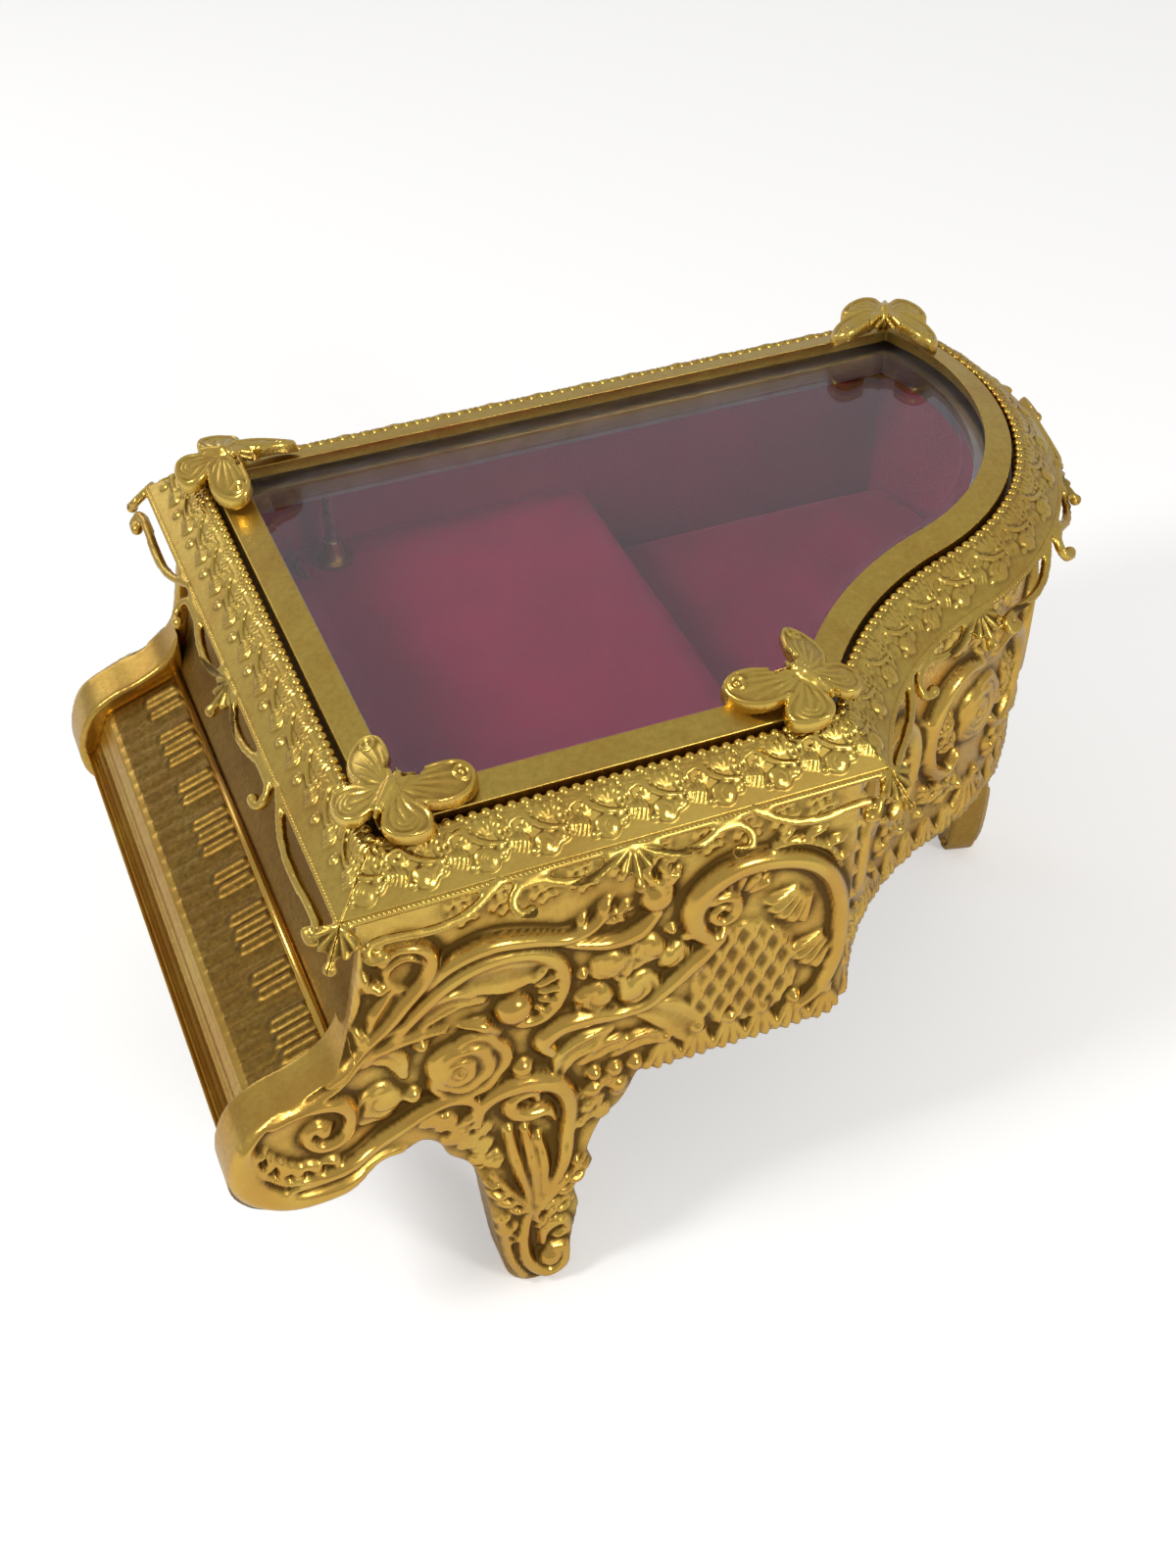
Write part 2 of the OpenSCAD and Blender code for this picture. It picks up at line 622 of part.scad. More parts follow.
// Hollow velvet-covered box over the movement, with a rounded tail edge
module velvet_platform() color(velvet) placed() {
    round_r = 6;
    x0 = -lined + inside_gap;
    y0 = -lined + inside_gap;
    depth = top_w - 2 * y0;
    difference() {
        intersection() {
            translate([0, y0 + depth, 0]) rotate([90, 0, 0]) linear_extrude(depth)
                polygon(concat([[x0, base_top + 0.1], [platform_x, base_top + 0.1]],
                               arc([platform_x - round_r, platform_z - round_r], round_r, 0, 90, 12),
                               [[x0, platform_z]]));
            slab(lined - inside_gap, base_top, platform_z + 1);
        }
        translate([x0 + board_t, y0 + board_t, base_top])
            cube([platform_x - x0 - 2 * board_t, depth - 2 * board_t,
                  platform_z - board_t - base_top]);
        translate([stop_c[0], stop_c[1], base_top]) cylinder(h = 60, r = eyelet_tube + 0.1);
    }
}

// Padded floor of the tail well
module well_pad() color(velvet) placed() intersection() {
    slab(lined - inside_gap, base_top + 0.1, well_z);
    translate([platform_x + inside_gap, -20, 0]) cube([top_len, top_w + 40, wall_top]);
}

// Velvet-covered board round the inside of the walls
module wall_lining() color(velvet) placed()
    ring(wall_in - inside_gap, lined, base_top + 0.1, lining_top);

// ---- stop pin ---------------------------------------------------------------

stop_bottom = base_top + 7.4;
stop_run = 0.05;
eyelet_tube = stop_r + 0.9;
fly_c = [21.75, 88.5];
fly_r = 2.8;

module stop_pin_eyelet() color("darkgoldenrod") placed()
    translate([stop_c[0], stop_c[1], platform_z]) difference() {
        union() {
            translate([0, 0, 0.05]) cylinder(h = 0.9, r = eyelet_r);
            cylinder(h = 5, r1 = eyelet_tube + 0.5, r2 = eyelet_tube - 0.4);
            translate([0, 0, -board_t - 1]) cylinder(h = board_t + 2, r = eyelet_tube);
        }
        translate([0, 0, -board_t - 2]) cylinder(h = board_t + 8, r = stop_r + stop_run);
    }

// Pin that the closed lid holds down, with the wire that stops the governor
module stop_pin() color(bare_zinc) placed() {
    translate([stop_c[0], stop_c[1], stop_bottom])
        cylinder(h = lid_z - lid_gap - stop_bottom, r = stop_r);
    translate([stop_c[0], stop_c[1], stop_bottom + 1]) rotate([90, 0, 0])
        cylinder(h = stop_c[1] - fly_c[1] - fly_r - 0.5, r = 0.6, $fn = 24);
}

// ---- movement ---------------------------------------------------------------

bed_z = base_top + 0.05;
bed_t = 1.6;
bed_top = bed_z + bed_t;
arbor_r = 1.6;
barrel_z = bed_top + 0.8;
crown_h = 1;
crown_teeth = 36;
pinion_teeth = 12;
tooth_w = 0.42;
crown_pitch_r = barrel_r - 0.6;
pinion_pitch_r = crown_pitch_r * pinion_teeth / crown_teeth;
barrel_top = barrel_z + 8;
cylinder_z = barrel_top + crown_h / 2 + pinion_pitch_r;
cylinder_x0 = 24.8;
cylinder_x1 = 41;
shaft_r = 1;
shaft_run = 0.05;
wheel_teeth = 24;
wheel_r = 5;
post_x0 = 23;
post_x1 = 41.4;
post_t = 1;
comb_y = barrel_c[1] - cylinder_r - 0.35;
block_y = bed_corner[1] + 2;
block_w = 7;
comb_screw_y = block_y + block_w / 2;

// Bar of thickness t that stands at x, with a bearing for the cylinder's shaft
module bearing_post(x) translate([x, barrel_c[1], 0]) difference() {
    translate([0, -2.6, bed_top - 0.5]) cube([post_t, 5.2, cylinder_z - bed_top + 3]);
    translate([-1, 0, cylinder_z]) rotate([0, 90, 0]) cylinder(h = post_t + 2, r = shaft_r + shaft_run);
}

module movement_bedplate() color("silver") placed() {
    difference() {
        translate([bed_corner[0], bed_corner[1], bed_z]) cube([bed_size[0], bed_size[1], bed_t]);
        translate([barrel_c[0], barrel_c[1], bed_z - 1])
            cylinder(h = bed_t + 2, r = arbor_r + shaft_run);
        for (p = MOVEMENT_SCREWS)
            translate([p[0], p[1], bed_z - 1]) cylinder(h = bed_t + 2, r = screw_r + 0.02);
    }
    bearing_post(post_x0);
    bearing_post(post_x1);
    // block that carries the comb
    difference() {
        translate([cylinder_x0, block_y, bed_top - 0.5])
            cube([cylinder_x1 - cylinder_x0, block_w, cylinder_z - bed_top]);
        for (x = COMB_SCREWS) translate([x, comb_screw_y, bed_top + 2])
            cylinder(h = 20, r = screw_r - 0.08, $fn = 24);
    }
}

COMB_SCREWS = [28, 37.8];
comb_t = 1;
comb_slit = 0.2;
module tone_comb() color("lightgray") placed() difference() {
    translate([cylinder_x0, block_y, cylinder_z - 0.45])
        cube([cylinder_x1 - cylinder_x0, comb_y - block_y, comb_t]);
    for (i = [1:comb_teeth - 1])
        translate([cylinder_x0 + (cylinder_x1 - cylinder_x0) * i / comb_teeth - comb_slit / 2,
                   block_y + block_w + 0.5, cylinder_z - 2])
            cube([comb_slit, 20, comb_t + 4]);
    for (x = COMB_SCREWS) translate([x, comb_screw_y, cylinder_z - 2])
        cylinder(h = 6, r = screw_r + 0.1, $fn = 24);
}

module comb_screws() color("silver") placed() for (x = COMB_SCREWS)
    translate([x, comb_screw_y, cylinder_z]) {
        translate([0, 0, -5]) cylinder(h = 6, r = screw_r - 0.1, $fn = 24);
        translate([0, 0, comb_t - 0.4]) cylinder(h = 1.1, r = 1.9, $fn = 24);
    }

module movement_screws() color("silver") placed() for (p = MOVEMENT_SCREWS)
    translate([p[0], p[1], base_z]) {
        cylinder(h = base_t + bed_t, r = screw_r);
        translate([0, 0, -1.3]) cylinder(h = 1.3, r = head_r);
    }

// Spring barrel with its crown wheel, and the arbor down to the key
module spring_barrel() color("gold") placed() translate([barrel_c[0], barrel_c[1], 0]) {
    translate([0, 0, barrel_z]) cylinder(h = barrel_top - barrel_z, r = barrel_r);
    translate([0, 0, base_z - 6]) cylinder(h = barrel_z - base_z + 7, r = arbor_r);
    for (i = [0:crown_teeth - 1]) rotate([0, 0, (i + 0.5) * 360 / crown_teeth])
        translate([crown_pitch_r - 0.6, -tooth_w / 2, barrel_top - 0.5])
            cube([1.2, tooth_w, crown_h + 0.5]);
}

// Butterfly key screwed onto the arbor under the base
key_top = base_z - 1;
module winding_key() color("silver") placed() translate([barrel_c[0], barrel_c[1], 0]) {
    difference() {
        union() {
            translate([0, 0, key_top - 9]) cylinder(h = 9, r = 2.8);
            for (s = [-1, 1]) translate([s * 5.6, 0.8, key_top - 12]) rotate([90, 0, 0])
                cylinder(h = 1.6, r = 4.8);
            translate([-6, -0.8, key_top - 14]) cube([12, 1.6, 6]);
        }
        translate([0, 0, base_z - 6]) cylinder(h = 20, r = arbor_r + 0.02);
        for (s = [-1, 1]) translate([s * 6.2, 2, key_top - 12]) rotate([90, 0, 0])
            cylinder(h = 4, r = 1.6);
    }
}

// Pinned cylinder with the pinion at one end and the worm wheel at the other
module music_cylinder() color("gold") placed()
    translate([0, barrel_c[1], cylinder_z]) rotate([0, 90, 0]) {
        translate([0, 0, cylinder_x0]) cylinder(h = cylinder_x1 - cylinder_x0 - 0.4, r = cylinder_r);
        translate([0, 0, post_x0 - 2.4]) cylinder(h = post_x1 + 4 - post_x0, r = shaft_r);
        translate([0, 0, barrel_c[0] - crown_pitch_r - 0.5]) linear_extrude(1) union() {
            circle(r = pinion_pitch_r - 0.65);
            for (i = [0:pinion_teeth - 1]) rotate(i * 360 / pinion_teeth)
                translate([0, -tooth_w / 2]) square([pinion_pitch_r + 0.42, tooth_w]);
        }
        translate([0, 0, post_x0 - 2]) linear_extrude(1.5) union() {
            circle(r = wheel_r - 0.7);
            for (i = [0:wheel_teeth - 1]) rotate(i * 360 / wheel_teeth)
                translate([0, -0.25]) square([wheel_r, 0.5]);
        }
    }

// Bracket with the two bearings of the governor
module governor_bracket() color("silver") placed() difference() {
    union() {
        for (z = [bed_top, cylinder_z + 3.6])
            translate([fly_c[0] - 4.6, fly_c[1] - 1.6, z]) cube([6.4, 3.2, 1.4]);
        translate([fly_c[0] - 4.6, fly_c[1] - 1.6, bed_top]) cube([1.2, 3.2, cylinder_z + 4 - bed_top]);
    }
    translate([fly_c[0], fly_c[1], bed_top - 1]) cylinder(h = 40, r = 0.55, $fn = 24);
}

// Air brake: four blades and the worm on one shaft
module governor_fly() color("gold") placed() translate([fly_c[0], fly_c[1], 0]) {
    translate([0, 0, bed_top + 0.1]) cylinder(h = cylinder_z + 5 - bed_top, r = 0.5, $fn = 24);
    translate([0, 0, bed_top + 2.4]) intersection() {
        union() {
            translate([-fly_r, -0.25, 0]) cube([2 * fly_r, 0.5, 5]);
            translate([-0.25, -fly_r, 0]) cube([0.5, 2 * fly_r, 5]);
        }
        cylinder(h = 5, r = fly_r);
    }
    translate([0, 0, cylinder_z - 2.6]) cylinder(h = 5.2, r = 1.15, $fn = 32);
}

// ---- hinges -------------------------------------------------------------------

hinge_y = top_w + wall_out + knuckle_r + 0.3;
hinge_z = wall_top - hinge_drop;
HINGES = [24, 112];
knuckle = hinge_len / 3;
leaf_t = 0.8;

// Leaf on the wall with the two outer knuckles
module hinge_body_leaves() color(gilt) placed() for (x = HINGES)
    translate([x, hinge_y, hinge_z]) difference() {
        union() {
            for (k = [0, 2 * knuckle + 0.1]) rotate([0, 90, 0])
                translate([0, 0, k]) cylinder(h = knuckle - 0.1, r = knuckle_r);
            for (k = [0, 2 * knuckle + 0.1])
                translate([k, -knuckle_r - 0.28, -2]) cube([knuckle - 0.1, leaf_t + 0.6, 2]);
            translate([0, -knuckle_r - 0.28, -10]) cube([hinge_len, leaf_t, 8.2]);
        }
        rotate([0, 90, 0]) translate([0, 0, -1]) cylinder(h = hinge_len + 2, r = pin_r + 0.01, $fn = 24);
    }

// Leaf inside the lid's border with the middle knuckle
module hinge_lid_leaves() color(gilt) placed() for (x = HINGES) {
    y1 = top_w + border_out - 1.8;
    translate([x, hinge_y, hinge_z]) difference() {
        union() {
            rotate([0, 90, 0]) translate([0, 0, knuckle + 0.1])
                cylinder(h = knuckle - 0.2, r = knuckle_r);
            translate([knuckle + 0.1, y1 - leaf_t - hinge_y, 0])
                cube([knuckle - 0.2, leaf_t, lid_z + 0.4 - hinge_z]);
            translate([0, y1 - leaf_t - hinge_y, knuckle_r + 0.8])
                cube([hinge_len, leaf_t, lid_z + 0.4 - hinge_z - knuckle_r - 0.8]);
        }
        rotate([0, 90, 0]) translate([0, 0, -1])
            cylinder(h = hinge_len + 2, r = pin_r + pin_gap, $fn = 24);
    }
}

module hinge_pins() color("silver") placed() for (x = HINGES)
    translate([x, hinge_y, hinge_z]) rotate([0, 90, 0]) {
        translate([0, 0, -0.4]) cylinder(h = hinge_len + 0.8, r = pin_r, $fn = 24);
        for (k = [-0.9, hinge_len + 0.1]) translate([0, 0, k]) cylinder(h = 0.8, r = pin_r + 0.6, $fn = 24);
    }

// ---- lid -----------------------------------------------------------------------

// Bare zinc frame: a flat ring on the walls and the seat of the glass
module lid_frame() color(bare_zinc) placed() {
    ring(wall_out, frame_in, lid_z, lid_z + frame_t);
    ring(border_in - 0.2, frame_in, lid_z + frame_t - 0.1, seat_z);
}

module treble_border() color(gilt) placed() mitred(0) {
    border_run(0);
    fringe(0, [0.51], true);
}

module bentside_border() color(gilt) placed() mitred(1) {
    bent_border_run();
    fringe(1, [0.3, 0.6], true);
}

module spine_border() color(gilt) placed() mitred(2) {
    border_run(2);
    fringe(2, [0.335, 0.67], false);
}

module keyboard_border() color(gilt) placed() mitred(3) {
    border_run(3);
    fringe(3, [0.5], true);
}

// Plate glass with its edge bevelled on top
module bevelled_glass() color("lightsteelblue", 0.4) placed() {
    edge = -0.7;
    z0 = seat_z + 0.05;
    edge_h = glass_t - 1.4;
    skinned([[for (p = plan(edge)) [p[0], p[1], z0]],
             [for (p = plan(edge)) [p[0], p[1], z0 + edge_h]],
             [for (p = plan(edge - bevel_w)) [p[0], p[1], z0 + glass_t]]]);
}

// Smooth bezel with a skirt round the edge of the glass
module glass_bezel() color(gilt) placed() {
    ring(0, -bezel_w, bezel_z, bezel_z + bezel_t - 0.5);
    ring(-0.5, -bezel_w + 0.5, bezel_z + bezel_t - 0.6, bezel_z + bezel_t);
    ring(0, -0.5, seat_z + 0.05, bezel_z + 0.1);
}

// ---- butterflies ---------------------------------------------------------------

// Right-hand wings, drawn with the body along +x, head at -x
FORE_WING = [[-1.4, 0.5], [-4.4, 1.8], [-8, 4.4], [-10.7, 7.6], [-10.6, 10.4], [-8.2, 11.6],
             [-4.6, 11], [-1.4, 8.8], [0.6, 5.4], [0.8, 1]];
HIND_WING = [[0, 0.6], [0.2, 5.2], [1.2, 8.2], [3.8, 9.5], [6.8, 8], [8.6, 5], [7.8, 2.2],
             [5.2, 0.9], [2.4, 0.3]];

module wings() for (s = [0, 1]) mirror([0, s, 0]) {
    polygon(loop(FORE_WING, 4));
    polygon(loop(HIND_WING, 4));
}

// Bowed casting on a stud; p is its place and a the way its tail points
wing_bow_r = 22;
wing_t = 1.1;
module butterfly(p, a) color(gilt) placed() {
    z = bezel_z + bezel_t;
    translate([p[0], p[1], z + wing_rise]) rotate([0, 0, a]) rotate([0, butterfly_tilt, 0])
        scale(butterfly_w / 25) {
            intersection() {
                translate([-20, 0, -wing_bow_r]) rotate([0, 90, 0]) difference() {
                    cylinder(h = 40, r = wing_bow_r, $fn = 96);
                    translate([0, 0, -1]) cylinder(h = 42, r = wing_bow_r - wing_t, $fn = 96);
                }
                translate([0, 0, -10]) linear_extrude(14) wings();
            }
            // head, thorax and tapering body
            rotate([0, 90, 0]) rotate_extrude($fn = 24)
                polygon(concat([[0, -3.6]], curve([[0.4, -3.5], [0.9, -2.8], [0.6, -2], [1.3, -0.6],
                                                   [1, 1.6], [0.6, 4.6], [0.3, 6]], 3), [[0, 6]]));
            for (s = [-1, 1]) translate([-3, 0, 0.1]) rotate([0, 0, 180 + s * 24])
                rotate([0, 88, 0]) cylinder(h = 4.6, r = 0.35, $fn = 16);
        }
    translate([p[0], p[1], z + 0.02]) cylinder(h = wing_rise - 0.2, r = 1.3);
}

wing_in = 3.4;
front_corner = bend_start(-wing_in);
back_corner = plan_at(-wing_in, BENT_LAST);
module butterfly_front_left() butterfly([wing_in, wing_in], 225);
module butterfly_front_right() butterfly(front_corner + [-1.4, 0.4], -60);
module butterfly_back_left() butterfly([wing_in, top_w - wing_in], 135);
module butterfly_back_right() butterfly(back_corner + [-1, 0], 62);

treble_side_panel();
spine_side_panel();
bentside_panel();
keyboard_plate();
fallboard();
base_plate();
base_screws();
velvet_platform();
well_pad();
wall_lining();
stop_pin_eyelet();
stop_pin();
movement_bedplate();
movement_screws();
spring_barrel();
winding_key();
music_cylinder();
tone_comb();
comb_screws();
governor_bracket();
governor_fly();
hinge_body_leaves();
hinge_lid_leaves();
hinge_pins();
lid_frame();
keyboard_border();
treble_border();
bentside_border();
spine_border();
bevelled_glass();
glass_bezel();
butterfly_front_left();
butterfly_front_right();
butterfly_back_left();
butterfly_back_right();
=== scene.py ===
"""Table casket in the shape of a small grand piano, gilt casting and glass."""

import json
import math

import bmesh
import bpy
import numpy as np
from bpy.props import FloatProperty, FloatVectorProperty, PointerProperty
from mathutils import Matrix, Vector
from mathutils.bvhtree import BVHTree


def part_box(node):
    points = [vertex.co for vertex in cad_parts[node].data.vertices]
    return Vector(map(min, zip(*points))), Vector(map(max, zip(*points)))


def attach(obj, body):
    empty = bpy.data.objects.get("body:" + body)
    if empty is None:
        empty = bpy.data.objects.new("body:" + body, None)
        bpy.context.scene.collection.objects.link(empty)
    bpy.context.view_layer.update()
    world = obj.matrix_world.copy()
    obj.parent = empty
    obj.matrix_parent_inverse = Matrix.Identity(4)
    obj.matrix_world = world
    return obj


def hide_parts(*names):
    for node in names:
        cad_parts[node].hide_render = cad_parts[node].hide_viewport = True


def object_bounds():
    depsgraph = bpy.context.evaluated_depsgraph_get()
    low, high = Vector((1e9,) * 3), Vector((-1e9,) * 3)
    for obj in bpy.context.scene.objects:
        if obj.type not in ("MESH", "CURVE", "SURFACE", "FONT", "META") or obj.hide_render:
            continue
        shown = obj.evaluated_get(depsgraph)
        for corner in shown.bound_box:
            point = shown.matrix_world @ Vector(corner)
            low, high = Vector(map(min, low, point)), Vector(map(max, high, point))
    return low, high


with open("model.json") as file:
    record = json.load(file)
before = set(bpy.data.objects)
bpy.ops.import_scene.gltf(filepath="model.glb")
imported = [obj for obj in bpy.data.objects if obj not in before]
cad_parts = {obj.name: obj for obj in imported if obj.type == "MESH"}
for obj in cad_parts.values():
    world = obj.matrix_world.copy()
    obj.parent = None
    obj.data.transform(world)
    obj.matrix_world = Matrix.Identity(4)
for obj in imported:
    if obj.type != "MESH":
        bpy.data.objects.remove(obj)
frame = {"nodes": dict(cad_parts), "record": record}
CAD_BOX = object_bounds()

bl_info = {
    "name": "Piano casket",
    "version": (1, 0, 0),
    "blender": (4, 5, 0),
    "location": "View3D > Sidebar > Casket",
    "description": "Builds the castings, velvet and glass of a piano-shaped table casket",
    "category": "Object",
}

MM = 0.001
# From the corner of the bezel between keyboard and treble side to the frame's origin
SHIFT = np.array([-71.736, -57.4, 0.0])


def colour(text):
    """Linear colour of an sRGB hex value."""
    parts = [int(text[i:i + 2], 16) / 255 for i in (1, 3, 5)]
    return tuple(c / 12.92 if c <= 0.04045 else ((c + 0.055) / 1.055) ** 2.4 for c in parts)


def fill(tree, node, inputs):
    """Sets the inputs of a node, or links them where the value is a socket."""
    for name, value in inputs.items():
        if isinstance(value, bpy.types.NodeSocket):
            tree.links.new(value, node.inputs[name])
        else:
            node.inputs[name].default_value = value


def add(tree, kind, inputs=None, **settings):
    """Adds a node, with its settings, input values and links."""
    made = tree.nodes.new("ShaderNode" + kind)
    for name, value in settings.items():
        setattr(made, name, value)
    fill(tree, made, inputs or {})
    return made


# ---- settings ---------------------------------------------------------------

def colour_setting(name, description, text):
    """Setting that holds a colour, given as an sRGB hex value."""
    return FloatVectorProperty(name=name, description=description, subtype="COLOR",
                               default=colour(text), min=0, max=1)


class FinishSettings(bpy.types.PropertyGroup):
    gold: colour_setting("Gold", "Gold plate on the raised work", "#e0be5e")
    rosy_gold: colour_setting("Worn gold", "Redder gold where the plate is rubbed", "#d3a64f")
    # patina colour: tarnish in the hollows, and painted shade there too
    patina_and_shade: colour_setting("Patina", "Dark tone in the hollows of the casting", "#5c421a")
    velvet: colour_setting("Velvet", "Pile of the velvet", "#7c0e34")
    glass: colour_setting("Glass", "Tint of the plate glass", "#f1eef6")


class StageSettings(bpy.types.PropertyGroup):
    floor: colour_setting("Floor", "Colour of the pale floor", "#f4f3f1")
    lens: FloatProperty(
        name="Lens", description="Focal length over a sensor 24 mm high",
        subtype="DISTANCE_CAMERA", default=32.09, min=10, max=200)
    key_power: FloatProperty(
        name="Key light", description="Power of the large soft light", unit="POWER",
        default=2.2, min=0, max=100)


# ---- materials --------------------------------------------------------------

def new_tree(holder, output):
    """Empty node tree of a material or a world, and its output."""
    holder.use_nodes = True
    tree = holder.node_tree
    tree.nodes.clear()
    return tree, add(tree, output)


def new_material(name):
    """Material with a Principled shader, and the piece's own coordinates."""
    made = bpy.data.materials.new(name)
    tree, out = new_tree(made, "OutputMaterial")
    shader = add(tree, "BsdfPrincipled")
    fill(tree, out, {"Surface": shader.outputs[0]})
    coords = add(tree, "TexCoord").outputs["Object"]
    return made, tree, shader, coords


def noise(size_mm):
    """Scale of a noise texture whose blotches are about this wide."""
    return 1 / (size_mm * MM)


def gilt_casting(settings):
    """Gold-plated cast zinc alloy: bright where rubbed, brown in the hollows from patina and
    painted shade, fine cast skin.
    """
    made, tree, shader, coords = new_material("gilt_zinc_casting")
    # the hollow attribute carries patina and painted shade of the recesses
    hollow = add(tree, "Attribute", attribute_name="hollow").outputs["Fac"]
    # rubbed and less rubbed areas, some 14 mm wide
    blotch = add(tree, "TexNoise",
                 {"Vector": coords, "Scale": noise(14), "Detail": 4.0, "Roughness": 0.6})
    # the walls, which lie lower than the lid, take more of the redder gold
    height = add(tree, "SeparateXYZ", {0: coords}).outputs["Z"]
    redder_below = add(tree, "MapRange",
                 {"Value": height, "From Min": 0.118, "From Max": 0.1, "To Max": 0.22})
    blotches = add(tree, "Math", {0: blotch.outputs["Fac"], 1: redder_below.outputs[0]},
                   operation="ADD")
    share = add(tree, "MapRange",
                {"Value": blotches.outputs[0], "From Min": 0.46, "From Max": 0.78})
    gold = add(tree, "Mix",
               {0: share.outputs[0], 6: (*settings.gold, 1), 7: (*settings.rosy_gold, 1)},
               data_type="RGBA")
    # specks of patina about 1.2 mm wide, over the patina and painted shade of the hollows
    speck = add(tree, "TexNoise",
                {"Vector": coords, "Scale": noise(1.2), "Detail": 6.0, "Roughness": 0.7})
    dirt = add(tree, "Math", {0: speck.outputs["Fac"], 1: 0.5, 2: hollow},
               operation="MULTIPLY_ADD").outputs[0]
    dirt_and_shade_share = add(tree, "MapRange",
                     {"Value": dirt, "From Min": 0.42, "From Max": 1.05, "To Max": 0.95})
    # where dirt is high the patina colour stands for tarnish and for painted shade in the hollows
    tone = add(tree, "Mix",
               {0: dirt_and_shade_share.outputs[0], 6: gold.outputs[2], 7: (*settings.patina_and_shade, 1)},
               data_type="RGBA")
    rough = add(tree, "MapRange",
                {"Value": dirt, "From Min": 0.2, "From Max": 1.0, "To Min": 0.17, "To Max": 0.46})
    # cast skin with a grain of 0.35 mm
    skin = add(tree, "TexNoise",
               {"Vector": coords, "Scale": noise(0.35), "Detail": 3.0, "Roughness": 0.55})
    bump = add(tree, "Bump",
               {"Height": skin.outputs["Fac"], "Strength": 0.25, "Distance": 0.05 * MM})
    fill(tree, shader, {"Base Color": tone.outputs[2], "Roughness": rough.outputs[0],
                        "Normal": bump.outputs[0], "Metallic": 1})
    return made


def mottled_metal(name, pattern, tones, roughness):
    """Metal whose tone and roughness go between two values over a noise pattern."""
    made, tree, shader, coords = new_material(name)
    mottle = add(tree, "TexNoise", {"Vector": coords, **pattern}).outputs["Fac"]
    dark, light = ((*colour(tone), 1) for tone in tones)
    tone = add(tree, "Mix", {0: mottle, 6: dark, 7: light}, data_type="RGBA")
    rough = add(tree, "MapRange",
                {"Value": mottle, "To Min": roughness[0], "To Max": roughness[1]})
    fill(tree, shader, {"Base Color": tone.outputs[2], "Roughness": rough.outputs[0],
                        "Metallic": 1})
    return made, tree, shader, coords


def bare_zinc(_):
    """Bare die-cast zinc: dull grey, mottled, with a fine pitted skin."""
    made, tree, shader, coords = mottled_metal(
        "bare_die_cast_zinc", {"Scale": noise(6), "Detail": 5.0, "Roughness": 0.65},
        ("#6f6e6c", "#a3a29e"), (0.35, 0.6))
    # pits 0.4 mm wide
    pits = add(tree, "TexNoise", {"Vector": coords, "Scale": noise(0.4), "Detail": 2.0})
    bump = add(tree, "Bump",
               {"Height": pits.outputs["Fac"], "Strength": 0.4, "Distance": 0.06 * MM})
    fill(tree, shader, {"Normal": bump.outputs[0]})
    return made


def turned_steel(_):
    """Plain steel with turning marks and a little tarnish."""
    return mottled_metal("turned_steel", {"Scale": noise(0.5), "Detail": 4.0, "Roughness": 0.7},
                         ("#8d8b88", "#c6c4c0"), (0.2, 0.42))[0]


def turned_brass(_):
    """Turned brass, lightly tarnished."""
    return mottled_metal("turned_brass", {"Scale": noise(3), "Detail": 5.0, "Roughness": 0.6},
                         ("#8f7434", "#cbb069"), (0.2, 0.4))[0]


def cotton_velvet(settings):
    """Cut-pile cotton velvet: dark where seen straight on, light along the edges."""
    made, tree, shader, coords = new_material("cotton_velvet")
    # crushed areas some 16 mm wide, and tufts drawn 0.45 mm wide so that they show
    crush = add(tree, "TexNoise",
                {"Vector": coords, "Scale": noise(16), "Detail": 3.0, "Roughness": 0.55})
    pile = add(tree, "TexNoise",
               {"Vector": coords, "Scale": noise(0.45), "Detail": 3.0, "Roughness": 0.7})
    deep = tuple(0.62 * c for c in settings.velvet)
    light = tuple(min(1, 1.12 * c) for c in settings.velvet)
    mixed = add(tree, "Math", {0: crush.outputs["Fac"], 1: pile.outputs["Fac"]},
                operation="MULTIPLY")
    share = add(tree, "MapRange",
                {"Value": mixed.outputs[0], "From Min": 0.05, "From Max": 0.5})
    tone = add(tree, "Mix",
               {0: share.outputs[0], 6: (*deep, 1), 7: (*light, 1)}, data_type="RGBA")
    bump = add(tree, "Bump",
               {"Height": pile.outputs["Fac"], "Strength": 0.6, "Distance": 0.2 * MM})
    fill(tree, shader, {"Base Color": tone.outputs[2], "Normal": bump.outputs[0],
                        "Roughness": 0.9, "Specular IOR Level": 0.1, "Sheen Weight": 0.35,
                        "Sheen Roughness": 0.35, "Sheen Tint": (*colour("#e04a78"), 1)})
    return made


def plate_glass(settings):
    """Polished soda-lime plate glass with faint smears of handling."""
    made, tree, shader, coords = new_material("polished_plate_glass")
    smear = add(tree, "TexNoise",
                {"Vector": coords, "Scale": noise(9), "Detail": 4.0, "Roughness": 0.7})
    rough = add(tree, "MapRange",
                {"Value": smear.outputs["Fac"], "From Min": 0.5, "From Max": 0.8,
                 "To Min": 0.0, "To Max": 0.06})
    fill(tree, shader, {"Base Color": (*settings.glass, 1), "Roughness": rough.outputs[0],
                        "Transmission Weight": 1, "IOR": 1.45})
    return made


FINISHES = {"gilt_casting": gilt_casting, "bare_zinc": bare_zinc, "steel": turned_steel,
            "brass": turned_brass, "velvet": cotton_velvet, "glass": plate_glass}
made_materials = {}


def finish(slot):
    """Material of a slot, made when it is first asked for."""
    if slot not in made_materials:
        made_materials[slot] = FINISHES[slot](bpy.context.scene.casket_finish)
    return made_materials[slot]


# ---- relief drawn as heights ------------------------------------------------

# Samples along a drawn curve lie about this far apart, in mm
PATH_STEP = 0.45


